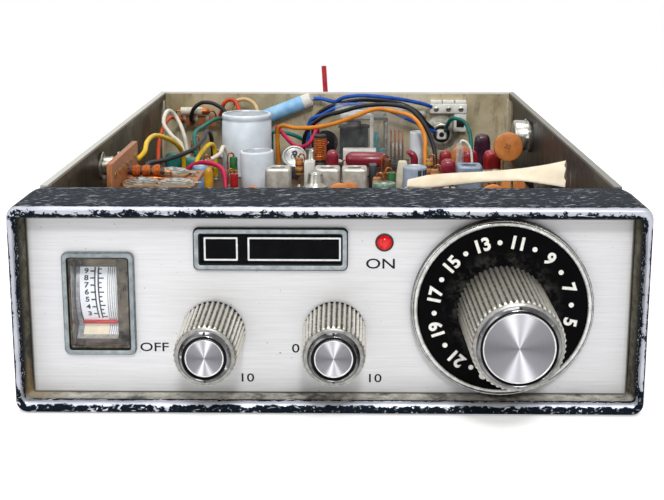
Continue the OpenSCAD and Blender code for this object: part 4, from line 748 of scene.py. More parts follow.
def makeKnob(key, chrome, satin, polished, spun, black, edging):
    spec = knobSpec[key]
    place = onPanel(*spec["place"])
    loops, wearAndShading = flutedWall(spec)
    put(loft(loops), chrome, place, wearAndShading)
    high, (gIn, gOut) = spec["to"], spec["groove"]
    shoulder, edge = high - spec["bevel"], spec["front"] - 0.45
    put(loft([loops[-1], circle(edge, shoulder + 0.05, len(loops[0]))]), chrome, place)
    wide = edge - gOut
    face = [(edge, shoulder + 0.05), (edge - 0.08, shoulder + 0.3), (edge - 0.22, shoulder + 0.42),
        (edge - wide * 0.45, shoulder + 0.62), (edge - wide * 0.5, shoulder + 0.6)]
    put(lathe(face, 144), satin, place)
    slopeIn, slopeOut = (gOut + 0.25, high - 0.1), (edge - wide * 0.52, shoulder + 0.66)
    put(lathe([face[-1], slopeOut, ((slopeIn[0] + slopeOut[0]) / 2, (slopeIn[1] + slopeOut[1]) / 2 + 0.06), slopeIn,
        (gOut + 0.12, high - 0.03), (gOut, high - 0.12)], 144), polished, place)
    put(lathe([(gOut, high - 0.12), (gOut - 0.03, high - 1.0), (gIn + 0.02, high - 1.0)], 96), black, place)
    back = spec["base"] - 0.75
    put(lathe([(spec["base"] - 0.2, spec["from"]), (back, spec["from"] + 0.02), (back, spec["from"] + 1.2),
        (4.4, spec["from"] + 1.2), (4.4, spec["from"] + 0.1), (3.1, spec["from"] + 0.1)], 96), black, place)
    run, fall = slopeOut[0] - slopeIn[0], slopeIn[1] - slopeOut[1]
    slope = degrees(atan2(fall, run))
    tick = [(-0.28, -run * 0.62, -0.1), (0.28, -run * 0.62, -0.1), (0.28, run * 0.62, -0.1), (-0.28, run * 0.62, -0.1)]
    tick = loft([tick, [(a, b, 0.14) for a, b, _ in tick]], True, True)
    for side in (0, 180):
        middle = at(0, slopeIn[0] + run / 2, high - 0.1 - fall / 2)
        put(tick, black, place @ turn(side, "Z") @ middle @ turn(-slope, "X"))
    makePiece(key + "Knob", [key + "_knob"], key, sharp=34)
    # thin turned disc set into the knob's face
    d = spec["disc"]
    origin = at(*(Vector((spec["place"][0], panelY - high, spec["place"][1])) * mm)) @ turn(90, "X")
    whole = Matrix.Scale(1000, 4) @ origin @ Matrix.Scale(mm, 4)
    face = [(0, -1.1), (d, -1.1), (d, -0.3), (d - 0.06, -0.14), (d - 0.28, -0.05), (d - 0.36, -0.12), (d - 0.6, -0.12),
        (d * 0.5, -0.06), (0.25, -0.05), (0, -0.12)]
    put(lathe(face, 96), spun, whole)
    put(lathe([(d + 0.01, -0.32), (d - 0.05, -0.12), (d - 0.28, -0.03), (d - 0.38, -0.13)], 96), edging, whole)
    makePiece(key + "Disc", [key + "_knob_cap"], key, origin=origin)


def makeKnobs():
    chrome = flutedChrome("handledChrome", "#f0ede3", "#cfcbbe", "#3a3428")
    # polished chrome on the bevel: a dark tone with bright patches, painted reflection of its surroundings, and
    # brighter where it catches a lamp
    polished = finish("polishedChrome", "#8b8b8e", "#2b2b2e", spot=5, rough=(0.1, 0.2), relief=0.003,
        mark=("#cfcfd0", 2.4, 0.6), metal=1.0)
    # satin ring where the flutes run out
    satin = finish("satinChrome", "#9d9c99", "#75736e", spot=1.2, rough=(0.28, 0.45), relief=0.008,
        mark=("#4a463b", 0.6, 0.66), metal=0.9)
    spun = spunAluminium("spunAluminium", "#919196", "#75757a")
    # bright turned edge of the disc
    edging = finish("discEdge", "#dededc", "#c2c2c0", spot=1.5, rough=(0.2, 0.32), relief=0.003, metal=0.9)
    # baked black paint in the groove, matt
    black = finish("groovePaint", "#151517", "#0a0a0b", spot=1.2, rough=(0.4, 0.6), relief=0.006, shine=0.15)
    for key in knobSpec:
        makeKnob(key, chrome, satin, polished, spun, black, edging)


makeKnobs()
print("knobs ready")


# channel dial: black disc with white numbers and dots, in a turned rim
dialSpec = {"place": (43.9, 27.0), "radius": 21.5, "face": 3.0, "rim": 23.1, "numberAt": 17.3, "numberHigh": 3.3,
    "dot": 0.65, "first": 11.2, "step": 15.0}


def makeDial():
    place = onPanel(*dialSpec["place"])
    r, top, rim = dialSpec["radius"], dialSpec["face"], dialSpec["rim"]
    # moulded black plastic, rubbed dull round the knob
    plastic = finish("dialPlastic", "#060608", "#030304", spot=5, rough=(0.42, 0.6), relief=0.006,
        mark=("#55534e", 0.45, 0.69), shine=0.03)
    tree = plastic.node_tree
    shader, coords = tree.nodes["Principled BSDF"], add(tree, "TexCoord", out="Object")
    flat = add(tree, "VectorMath", {0: coords, 1: (1, 0, 1)}, operation="MULTIPLY")
    x, z = dialSpec["place"]
    away = add(tree, "VectorMath", {0: flat, 1: (x * mm, 0, z * mm)}, out="Value", operation="DISTANCE")
    close = add(tree, "MapRange", {"Value": away, "From Min": 16 * mm, "From Max": 12 * mm})
    smear = add(tree, "TexNoise", {"Vector": coords, "Scale": perMm(3.5), "Detail": 7.0, "Roughness": 0.75})
    rub = add(tree, "MapRange", {"Value": smear, "From Min": 0.48, "From Max": 0.72, "To Max": 0.4})
    share = add(tree, "Math", {0: close, 1: rub}, operation="MULTIPLY")
    before = shader.inputs["Base Color"].links[0].from_socket
    feed(tree, shader, {"Base Color": add(tree, "Mix", {"Factor": share, "A": before, "B": "#6b6963"})})
    # printed numbers: warm white, a little worn
    white = finish("dialInk", "#f2f1ec", "#dcdad2", spot=0.9, rough=(0.45, 0.6), relief=0.004,
        mark=("#6a6862", 0.4, 0.68))
    put(lathe([(3.2, 0.6), (r - 0.05, 0.6), (r - 0.05, top - 0.25), (r - 0.35, top), (15.2, top), (14.9, top - 0.03),
        (13.0, top - 0.03), (12.8, top), (3.2, top)], 128), plastic, place)
    for n in range(1, 25):
        clock = dialSpec["first"] + (11 - n) * dialSpec["step"]
        spot = place @ turn(-clock, "Z") @ at(0, dialSpec["numberAt"], top)
        if n % 2:
            put(lettering(str(n), dialSpec["numberHigh"], 0.06, 0.98, bold=0.036), white, spot @ at(0, 0, 0.02))
        else:
            put(lathe([(dialSpec["dot"], -0.02), (dialSpec["dot"], 0.05), (0, 0.05)], 20), white, spot)
    makePiece("channelDial", ["channel_dial"], "channel")
    # bright turned ring, with painted shade in it: a dark line in its groove and down its outer wall
    steel = finish("turnedRim", "#d6d7d6", "#a9aaa8", spot=1.5, rough=(0.18, 0.34), relief=0.006,
        mark=("#4e4a42", 0.8, 0.66), metal=0.85)
    # painted shade: dark and half matt
    dark = finish("rimShadowPaint", "#26262a", "#131316", spot=1, rough=(0.35, 0.5), relief=0.005)
    edge, dip, land, wall = (r + 1.0, top + 0.1), top - 0.05, (r + 1.16, top + 0.08), (rim, top - 0.25)
    turned(place, 144,
        (steel, [(r, 0.6), (r, top + 0.05), (r + 0.12, top + 0.2), (r + 0.45, top + 0.3), (r + 0.85, top + 0.22),
        edge]),
        (dark, [edge, (r + 1.03, dip), (r + 1.13, dip), land]),
        (steel, [land, (r + 1.3, top + 0.12), (rim - 0.15, top), wall]),
        (dark, [wall, (rim - 0.02, 1.5), (rim, 0.65), (rim - 0.1, 0.6), (r, 0.6)]))
    makePiece("dialRim", ["dial_rim"], "channel")


makeDial()
print("dial ready")


# clear moulding: mostly see-through, with gloss and a haze of fine scratches
def clearPlastic(name, body, spot):
    plain = {"Base Color": "#e3e7ea", "IOR": 1.49, "Specular IOR Level": 0.3}
    made, tree, shader, coords = startMaterial(name, plain)
    haze = add(tree, "TexNoise", {"Vector": coords, "Scale": perMm(spot), "Detail": 6.0, "Roughness": 0.7})
    for socket, low, high, least, most in (
            ("Roughness", 0.35, 0.7, 0.04, 0.25), ("Alpha", 0.4, 0.75, body * 0.5, min(1.0, body * 1.8))):
        span = {"Value": haze, "From Min": low, "From Max": high, "To Min": least, "To Max": most}
        feed(tree, shader, {socket: add(tree, "MapRange", span)})
    feed(tree, shader, {"Normal": add(tree, "Bump", {"Height": haze, "Distance": 0.01 * mm, "Strength": 0.3})})
    return made


# edgewise meter: grey frame, dark gasket, bronze-tinted well, scale on a drum and a red pointer bar
meterSpec = {
    "place": (-58.8, 27.3), "frame": (18.5, 27.2), "border": 1.6, "proud": 1.5, "pivotY": -94.8, "drum": 12.5,
    "wide": 9.8, "side": 1.5, "rest": 32.0,
    "numbers": [("9", 31), ("8", 22.5), ("7", 14), ("6", 5.5), ("5", -3.5), ("4", -13), ("3", -23)],
    "ribs": [2.4, 2.95, 3.5, 4.05, 4.55],
}


def onDrum(x, lift, angle):
    mx, mz = meterSpec["place"]
    return at(mx, meterSpec["pivotY"], mz) @ turn(-angle, "X") @ at(x, -meterSpec["drum"] - lift, 0) @ turn(90, "X")


# strip bent round the drum between two angles; left and right are places, or functions of the angle
def drumPatch(left, right, low, high, lift, steps=24, inner=None):
    mx, mz = meterSpec["place"]
    outer, under = meterSpec["drum"] + lift, inner or meterSpec["drum"] - 0.05
    loops = []
    for i in range(steps + 1):
        a = radians(low + (high - low) * i / steps)
        x0, x1 = (side(a) if callable(side) else side for side in (left, right))
        corners = ((outer, x0), (outer, x1), (under, x1), (under, x0))
        loops.append([(mx + x, meterSpec["pivotY"] - r * cos(a), mz + r * sin(a)) for r, x in corners])
    return loft(loops, True, True)


def makeMeter():
    w, h = meterSpec["frame"]
    e, top, half = meterSpec["border"], meterSpec["proud"], meterSpec["wide"] / 2
    place = onPanel(*meterSpec["place"])
    # painted die casting, blue grey, rubbed at its edges
    paint = finish("meterFramePaint", "#9aa3a6", "#737c80", spot=1.8, rough=(0.35, 0.5), relief=0.015,
        mark=("#2c3034", 0.8, 0.65), metal=0.45)
    # the same paint on the sides, darker as painted shade and dirtier, and dull black rubber round it
    shade = finish("shadedFrameSidePaint", "#8d9396", "#565c60", spot=1.2, rough=(0.4, 0.55), mark=("#24272a", 0.7, 0.62),
        metal=0.3)
    rubber = finish("gasketRubber", "#171716", "#090909", spot=1.2, rough=(0.5, 0.7), relief=0.02, shine=0.1)
    # smoked bronze plastic, glossy, browned in its corners
    bronze = finish("bronzeWell", "#6e6250", "#221c13", spot=2.2, rough=(0.1, 0.26), relief=0.004,
        mark=("#b09a6a", 1.6, 0.64), metal=0.6)
    rows = [(0, 1.6, 0), (0, 1.6, top - 0.5), (0.12, 1.5, top - 0.25), (0.28, 1.4, top - 0.06), (0.55, 1.2, top),
        (e - 0.5, 0.9, top), (e - 0.3, 0.75, top - 0.12), (e - 0.1, 0.65, top - 0.35), (e, 0.6, top - 0.55),
        (e, 0.6, 0.35)]
    castFrame(place, w, h, rows, (0, 4, shade), (3, 7, paint), (6, 9, rubber), (8, 10, bronze))
    iw, ih = w - 2 * e, h - 2 * e
    well = [(0, 0, 0.6, 0.35), (0.3, 0.3, 0.5, 0.3), (0.6, 1.0, 0.4, 0.1), (0.7, 1.2, 0.4, -0.25),
        (0.6, 1.6, 0.4, -2.0), (0.5, 2.2, 0.3, -4.0), (-1.2, -1.2, 0.2, -4.0), (-1.2, -1.2, 0.2, -0.05)]
    put(loft([roundLoop(iw - a, ih - b, c, z, 6) for a, b, c, z in well]), bronze, place)
    mx, mz = meterSpec["place"]
    put(block(3.5, 0.5, ih - 2.4, 0.1, 0.1, -ih / 2 + 1.2), bronze, at(mx + 5.65, panelY + 3.7, mz))
    makePiece("meterFrame", ["meter_bezel"])
    # moulded clear window, hazed by fine scratches
    clear = clearPlastic("clearWindow", 0.05, 2.2)
    rows = ((0.4, -0.2), (0.3, -0.1), (0.3, 0.55), (0.5, 0.68), (2.0, 0.7))
    put(loft([roundLoop(iw - i, ih - i, 0.4, z, 6) for i, z in rows], True, True), clear, place)
    makePiece("meterWindow", ["meter_lens"])
    # printed card: matt white, yellowed below the pointer, with a faint painted glow standing in for a lamp behind it
    card = finish("scaleCard", "#f3f5f8", "#e2e6ec", spot=4, rough=(0.6, 0.75), relief=0.006,
        sockets={"Emission Color": "#e6ecf8", "Emission Strength": 0.34})
    # aged card: warm and dry, with a painted glow standing in for a lamp behind it
    cream = finish("creamCard", "#efe9d4", "#dcd4b6", spot=3, rough=(0.6, 0.75), relief=0.006,
        sockets={"Emission Color": "#efe6cc", "Emission Strength": 0.26})
    # rubbed aluminium: grey, brighter in streaks, with a faint painted glow
    wornAndLit = finish("rubbedAluminium", "#c9ccd2", "#85888e", spot=1.6, rough=(0.3, 0.5), relief=0.006,
        sockets={"Metallic": 0.4, "Emission Color": "#aeb4bf", "Emission Strength": 0.12})
    # black ink: dry, and moulded ribs: pale grey, half shiny
    ink = finish("scaleInk", "#1c1c20", "#0e0e10", spot=0.6, rough=(0.5, 0.65), relief=0.002)
    grey = finish("ribPlastic", "#c4c2bb", "#9a9890", spot=1, rough=(0.35, 0.5), relief=0.003)
    deep, side = meterSpec["drum"] - 0.8, meterSpec["side"]
    left = lambda a: -half - side + 0.45 * max(0.0, (0.3 - a) / 0.85) ** 2  # the card's edge runs in a bow
    put(drumPatch(-half - side, half - side, -40, 36.5, 0.0, inner=deep), card)
    put(drumPatch(-half - side - 0.95, lambda a: left(a) + 0.02, -40, 36, 0.06, inner=deep), wornAndLit)
    put(drumPatch(lambda a: left(a) - 0.3 * max(0.0, (0.3 - a)), lambda a: left(a) + 0.06, -40, 20, 0.09), ink)
    rise = mz + meterSpec["drum"] * sin(radians(36.5))
    put(block(half * 2 + 4.6, 0.8, mz + 11.7 - rise, 0.1, 0.1), bronze, at(mx, meterSpec["pivotY"] - 9.7, rise))
    # card folded forward under the pointer: cream between the grey edge and the ribs, then a pale sill
    apron = [(-104.2, 19.35), (-105.3, 18.6), (-106.3, 17.75), (-107.1, 17.0)]
    foot = [(-107.1, 17.0), (-107.8, 16.3), (-108.4, 15.6)]
    raised = [(y - 0.1, z + 0.1) for y, z in apron + foot]
    edges = (-half - side - 0.95, left(-0.7), meterSpec["ribs"][0] - side - 0.1, half - side)
    strips = [(*span, apron, look) for span, look in zip(zip(edges, edges[1:]), (wornAndLit, cream, card))]
    strips.append((edges[0], edges[3], foot, grey))
    strips += [(x - side, x - side + 0.22, raised, grey) for x in meterSpec["ribs"]]
    for x0, x1, fold, look in strips:
        ends = ((x0, 0, 0), (x1, 0, 0), (x1, 0.5, -0.4), (x0, 0.5, -0.4))
        put(loft([[(mx + x, y + back, z + down) for x, back, down in ends] for y, z in fold], True, True), look)
    bow = lambda a: 0.8 * (max(0.0, 0.7 - a) / 1.2) ** 1.6
    for x in (-1.2, -0.3):
        put(drumPatch(lambda a: x - side + bow(a), lambda a: x - side + 0.42 + bow(a) * 0.9, -30, 36, 0.03), ink)
    for text, angle in meterSpec["numbers"]:
        shift = bow(radians(angle))
        put(lettering(text, 1.35, 0.03, 1.25, bold=0.03), ink, onDrum(-3.2 - side + shift, 0.03, angle))
        put(drumPatch(-2.2 - side + shift, -1.2 - side + shift, angle - 0.9, angle + 0.9, 0.035, 2), ink)
    for i in range(12):
        angle = -28 + 5.6 * i
        shift, reach = bow(radians(angle)), (0.75 if i % 3 else 1.3)
        put(drumPatch(shift - side, reach - side + shift, angle - 0.8, angle + 0.8, 0.035, 2), ink)
    for x in meterSpec["ribs"]:
        put(drumPatch(x - side, x - side + 0.22, -40, 36, 0.16), grey)
    makePiece("meterScale", ["meter_scale"])
    # pointer bar, dipped in red lacquer
    lacquer = finish("pointerRed", "#d8342f", "#bb2020", spot=1.5, rough=(0.3, 0.45), relief=0.003)
    spindle = at(mx, meterSpec["pivotY"], mz) @ turn(meterSpec["rest"], "X")
    put(tube([(-4.6, 0, 0), (4.9, 0, 0)], 0.62, 14), lacquer, spindle)
    reach = meterSpec["drum"] + 0.7
    bar = [(-5.9, -reach - 0.2, 0), (-5.5, -reach - 0.25, 0), (2.6, -reach - 0.25, 0), (3.4, -reach - 0.2, 0),
        (4.2, -reach + 1.4, 0), (4.5, -4, 0), (4.5, 0.6, 0)]
    put(tube(bar, [0.34, 0.56, 0.56, 0.42, 0.3, 0.25, 0.5], 10), lacquer, spindle)
    makePiece("meterPointer", ["meter_pointer"], "pointer")


makeMeter()
# smoked styrene: brown with a soft gloss, and pressed iron: grey
dress("meter_housing", finish("smokedStyrene", "#5f5545", "#383024", spot=6, rough=(0.25, 0.4)))
dress("meter_movement", finish("movementIron", "#85817a", "#5e5b55", rough=(0.35, 0.5), metal=0.7))
print("meter ready")


# sheet steel with dull zinc plating: olive clouds, stains and run marks, and bright cut edges along the top, drawn
# brighter as a painted highlight
def platedSteel(name, light, dark, stain, top, rim):
    made, tree, shader, coords = startMaterial(name, {"Metallic": 0.45})
    clouds = add(tree, "TexNoise", {"Vector": coords, "Scale": perMm(26), "Detail": 5.0, "Roughness": 0.6})
    tone = layOver(tree, dark, clouds, 0.36, 0.64, light)
    runs = add(tree, "Mapping", {"Vector": coords, "Scale": (1, 1, 0.25)})
    streak = add(tree, "TexNoise", {"Vector": runs, "Scale": perMm(4), "Detail": 6.0, "Roughness": 0.72})
    tone = layOver(tree, tone, streak, 0.54, 0.68, stain, 0.75)
    tone = layOver(tree, tone, streak, 0.37, 0.3, "#d6d3c6", 0.5)
    high = add(tree, "SeparateXYZ", {0: coords}, out=2)
    tone = layOver(tree, tone, high, top - 0.9 * mm, top - 0.6 * mm, rim)
    fine = add(tree, "TexNoise", {"Vector": coords, "Scale": perMm(0.7), "Detail": 3.0})
    joinUp(tree, shader, tone, streak, (0.3, 0.6), fine, 0.012, 0.5)
    return made


def dressChassis():
    # the same plating in lit and shaded copies, pale on the rear wall, dark on the left and darker on the right, with
    # top-edge highlights to match: painted light and shade
    for name, look, tones, rim in (
            ("rear_panel", "zincPlatedRearLit", ("#e6dabb", "#aa9d7c", "#786e55"), "#eeede8"),
            ("left_side_plate", "zincPlatedLeftShaded", ("#6d6855", "#302d23", "#16140f"), "#c4c3bb"),
            ("right_side_plate", "zincPlatedRightShaded", ("#3b3934", "#1e1d1b", "#0e0e0d"), "#85837b")):
        dress(name, platedSteel(look, *tones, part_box(name)[1][2], rim))
    dress("front_subpanel", platedSteel("zincPlatedFront", "#a19b84", "#75705c", "#4b4638", 1.0, "#c9c7bd"))
    # stoved black paint with a fine crackle, chipped at the slots
    dress("bottom_cover", finish("stovedPaint", "#2c3036", "#191c20", spot=5, rough=(0.4, 0.6), grain=0.5, relief=0.05,
        mark=("#8e949b", 1.1, 0.7)))
    # nickel plate: bright warm grey with dark specks
    nickel = finish("nickelPlate", "#aeaba2", "#807d75", spot=1.5, rough=(0.22, 0.42), relief=0.008,
        mark=("#4a453a", 0.8, 0.68), metal=0.85)
    for name in ("case_screws", "bracket_nuts", "board_standoffs"):
        dress(name, nickel)
    # turned brass: yellow with bright edges
    dress("control_nuts", finish("turnedBrass", "#b6923f", "#8a6a28", spot=1.5, rough=(0.25, 0.4), relief=0.006,
        metal=0.9))
    # ground steel: fine lines along the shaft
    shaft = finish("groundSteel", "#a3a3a2", "#7a7a79", spot=1.2, rough=(0.2, 0.35), relief=0.005, stretch=(1, 0.1, 1),
        metal=0.9)
    for name in ("volume_shaft", "squelch_shaft", "channel_rotor"):
        dress(name, shaft)
    # tinned steel: pale, stained in patches
    potTin = finish("potTin", "#b0aa98", "#86806f", spot=4, rough=(0.3, 0.5), mark=("#5a5343", 1.4, 0.66), metal=0.7)
    for name in ("volume_pot", "squelch_pot"):
        dress(name, potTin)
    # punched phenolic: red brown with pale flecks, and moulded plastic: black, half matt
    dress("channel_switch", finish("switchPhenolic", "#7b4a24", "#553017", spot=2.4, relief=0.015,
        mark=("#a8793f", 0.7, 0.68)))
    dress("lamp_holder", finish("holderPlastic", "#2b2b2d", "#171719", rough=(0.4, 0.55)))
    # paper phenolic board: brown, mottled by its fibres, with flux stains
    dress("main_board", finish("boardPhenolic", "#503821", "#2e1f12", spot=3.2, rough=(0.35, 0.6), grain=0.3,
        relief=0.015, mark=("#2a1b0e", 4.0, 0.63)))
    # stamped iron and pressed steel: grey, the steel stained
    dress("relay_armature", finish("armatureIron", "#9a9890", "#6c6a64", rough=(0.3, 0.5), relief=0.008, metal=0.8))
    dress("speaker_frame", finish("speakerSteel", "#8f9092", "#6a6b6d", spot=5, rough=(0.3, 0.5),
        mark=("#55524a", 2.0, 0.67), metal=0.75))
    # pressed paper cone: dull grey black with long fibres
    dress("speaker_cone", finish("conePaper", "#3f3d3a", "#2a2826", spot=1.4, rough=(0.8, 0.95), grain=0.4, relief=0.06,
        stretch=(1, 1, 0.4)))


dressChassis()
print("chassis dressed")


def onBoard(x, y, lift=0.0):
    return at(x, y, boardTop + lift)


# tinned copper leads and solder, shared by the small parts
tin = finish("tinnedLead", "#bdbbb4", "#8d8b84", spot=0.8, rough=(0.25, 0.45), relief=0.006, metal=0.8)
# bare copper: pinkish brown, a little dulled
copperLead = finish("copperLead", "#c27a48", "#8f5028", spot=1, rough=(0.25, 0.45), relief=0.006, metal=0.75)


def lead(points, radius=0.32, metal=None):
    put(tube(points, radius, 8), metal or tin)


def solder(x, y):
    put(lathe([(0.95, -0.02), (0.8, 0.22), (0.5, 0.55), (0.34, 0.95), (0, 1.0)], 12), tin, onBoard(x, y))


# straight lead soldered into the board, up to a height
def leg(x, y, high, radius=0.32, metal=None):
    lead([(x, y, leadFoot), (x, y, high)], radius, metal)
    solder(x, y)


# upright and lying electrolytic capacitors in shrunk plastic sleeves over aluminium cans
canSpec = {
    "filter": (-36.3, 75, 10, 24.9),
    "upright": [(-28.8, 34, 6.3, 16.4), (-50, 31, 3, 11), (33.2, 75, 3.3, 17.6), (28.4, 12, 4.3, 14.6),
    (27, -32, 4.5, 15.4), (-34, -42, 4, 11), (44, -28, 3.2, 10), (60, -26, 4.2, 12), (-34, -14, 3.5, 11)],
    "sleeves": ["grey", "blue", "pale", "striped", "grey", "blue", "grey", "pale", "grey"],
}


def canShape(r, h):
    rim = min(0.9, r * 0.14)
    wall = [(0, 0.25), (r - rim, 0.25), (r - 0.25, 0.4), (r, 1.0), (r, 1.9), (r - 0.3, 2.35), (r - 0.3, 2.6), (r, 3.1)]
    wall += [(r, h * 0.5), (r, h - 0.8), (r - 0.08, h - 0.35), (r - 0.3, h - 0.08), (r - rim, h)]
    lid = [(r - rim, h), (r - rim - 0.15, h - 0.12), (r - rim - 0.3, h - 0.4), (r * 0.45, h - 0.42),
        (r * 0.2, h - 0.36), (0, h - 0.34)]
    return wall, lid


def makeCans():
    # shrunk vinyl sleeve: soft grey with dust and small nicks
    sleeves = finishes({
        "grey": ("greySleeve", "#ebf3fa", "#d2dde8", {"spot": 6, "mark": ("#6e7078", 0.7, 0.71)}),
        "pale": ("paleSleeve", "#edf2f7", "#d3dae2", {"spot": 5, "mark": ("#7c7d80", 0.7, 0.7)}),
        "blue": ("blueSleeve", "#8fb3d6", "#6c93bb", {"spot": 4, "rough": (0.3, 0.45)}),
        "striped": ("stripedSleeve", "#a9b6c6", "#8a98aa", {"spot": 4, "rough": (0.3, 0.45)}),
    }, rough=(0.3, 0.5), relief=0.008)
    # printed stripe: dark blue grey
    stripe = finish("sleeveStripe", "#2b3038", "#1c2026", rough=(0.35, 0.5), relief=0.005)
    # pressed aluminium end, etched dull
    lid = finish("canLid", "#b6bbc0", "#959aa0", relief=0.008, mark=("#77757a", 0.8, 0.69), metal=0.6)
    x, y, r, h = canSpec["filter"]
    wall = [(0, 0), (r - 0.7, 0), (r - 0.15, 0.3), (r, 0.9), (r, h * 0.35), (r, h - 3.2), (r - 0.22, h - 2.9),
        (r - 0.25, h - 2.2), (r - 0.05, h - 1.9), (r - 0.02, h - 0.75), (r - 0.2, h - 0.25), (r - 0.55, h - 0.02),
        (r - 0.95, h - 0.1)]
    put(lathe(wall, 72), sleeves["grey"], onBoard(x, y))
    put(lathe([(r - 0.95, h - 0.1), (r - 1.15, h - 0.55), (r - 1.5, h - 0.6), (r * 0.5, h - 0.52), (1.6, h - 0.5),
        (1.3, h - 0.38), (0.5, h - 0.36), (0, h - 0.5)], 72), lid, onBoard(x, y))
    for k in range(3):
        a = radians(120 * k + 30)
        spot = onBoard(x + (r - 0.2) * cos(a), y + (r - 0.2) * sin(a))
        put(block(2.6, 0.6, 1.0, 0.1, 0.1), lid, spot @ turn(degrees(a) + 90, "Z"))
    makePiece("filterCapacitor", ["filter_capacitor"])
    for (x, y, r, h), look in zip(canSpec["upright"], canSpec["sleeves"]):
        wall, end = canShape(r, h)
        lean = turn(-1.5 if r > 6 else 0.8, "Y") if r > 4.2 else Matrix()
        put(lathe(wall, 48), sleeves[look], onBoard(x, y) @ lean)
        put(lathe(end, 48), lid, onBoard(x, y) @ lean)
        bands = [(-70, 9), (-48, 5), (-32, 9)] if look == "striped" else [(150, 12)]
        for mid, half in bands:
            angles = [radians(mid + half * t) for t in (-1, -0.5, 0, 0.5, 1)]
            levels = ((r - 0.02, 3.4), (r + 0.03, 3.5), (r + 0.03, h - 1.0), (r - 0.02, h - 0.9))
            verts = [(rr * cos(a), rr * sin(a), z) for rr, z in levels for a in angles]
            faces = [[5 * i + k, 5 * i + k + 1, 5 * i + k + 6, 5 * i + k + 5] for i in range(3) for k in range(4)]
            put((verts, faces), stripe, onBoard(x, y) @ lean)
        for s in (-1, 1):
            lead([(x + s * r * 0.4, y, leadFoot), (x + s * r * 0.4, y, boardTop + 0.5)])
    makePiece("uprightCapacitors", ["upright_capacitors"])


makeCans()


# lying capacitors against the rear wall: pale blue film with a paper end, and a cream tube with a copper end
axialSpec = {
    "blue": {"at": (-23, 115.8, 46.9), "r": 3.2, "long": 25.6, "tilt": 21},
    "cream": {"at": (-62, 112.7, 46.6), "r": 1.7, "long": 13},
}


def makeAxials():
    # wound film: pale glossy blue with milky clouds
    film = finish("blueFilm", "#a9d4f2", "#6fb0e2", spot=7, rough=(0.15, 0.35), mark=("#d9ecf8", 2.5, 0.6))
    # paper ends: dry off-white, and wax: cream with a soft shine
    paper = finish("paperEnd", "#eceae4", "#cfccc2", rough=(0.6, 0.8), relief=0.03)
    wax = finish("creamWax", "#e7e1cf", "#cbc3aa", spot=3, rough=(0.3, 0.5), relief=0.012, mark=("#9a8f70", 1.0, 0.68))
    spec = axialSpec["blue"]
    r, half = spec["r"], spec["long"] / 2
    place = at(*spec["at"]) @ turn(-spec["tilt"], "Y") @ turn(90, "Y")
    turned(place, 48, (film, [(0, -half + 0.4), (r * 0.5, -half + 0.35), (r * 0.82, -half), (r - 0.1, -half + 0.5),
        (r, -half + 1.5), (r, half - 4.3), (r + 0.02, half - 4.0)]),
        (paper, [(r + 0.02, half - 4.0), (r - 0.06, half - 3.8), (r - 0.1, half - 1.2), (r - 0.2, half - 0.4),
        (r * 0.6, half), (0, half - 0.3)]))
    tips = [[place @ Vector((0, 0, end * (half + out))) for out in (-0.3, 0.9, 1.6)] for end in (-1, 1)]
    lead(tips[1][:2] + [tips[1][2] + Vector((0, -0.3, -0.8))], 0.4)
    foot = (tips[0][2].x - 0.6, spec["at"][1] - 2.2)  # the other lead bends down to the board
    lead(tips[0][:2] + [tips[0][2] + Vector((-0.3, -0.5, -2.0)), (*foot, boardTop + 6), (*foot, leadFoot)], 0.4)
    solder(*foot)
    spec = axialSpec["cream"]
    r, half = spec["r"], spec["long"] / 2
    place = at(*spec["at"]) @ turn(90, "Y")
    turned(place, 36, (wax, [(0, -half + 0.3), (r * 0.7, -half), (r, -half + 0.5), (r, -half + 3),
        (r - 0.08, -half + 3.2), (r, -half + 3.4), (r, half - 3.4)]),
        (copperLead, [(r, half - 3.4), (r * 0.98, half - 2.2), (r * 0.9, half - 0.8), (r * 0.5, half), (0, half)]))
    x, y, z = spec["at"]
    for s in (-1, 1):
        lead([(x + s * (half - 0.3), y, z), (x + s * (half + 1.4), y, z), (x + s * (half + 2.2), y + 0.7, z - 1.0),
            (x + s * (half + 2.4), y + 1.6, z - 2.4)], 0.36, copperLead)
    makePiece("axialCapacitors", ["axial_capacitors"])


makeAxials()


# square coil cans with a tuning slug, and crystal cans
coilCanSpec = {"spots": [(-20.4, 20), (-2.6, 20), (7.2, 20), (49.2, 26), (-20, -30), (-6, -30), (8, -30)], "side": 9.2,
    "high": 12.7, "slug": 2.6, "dark": 3}
crystalSpec = {"first": (9, -66), "pitch": 11.4, "across": 6, "rows": 2, "size": (10.4, 4.2, 12.4)}


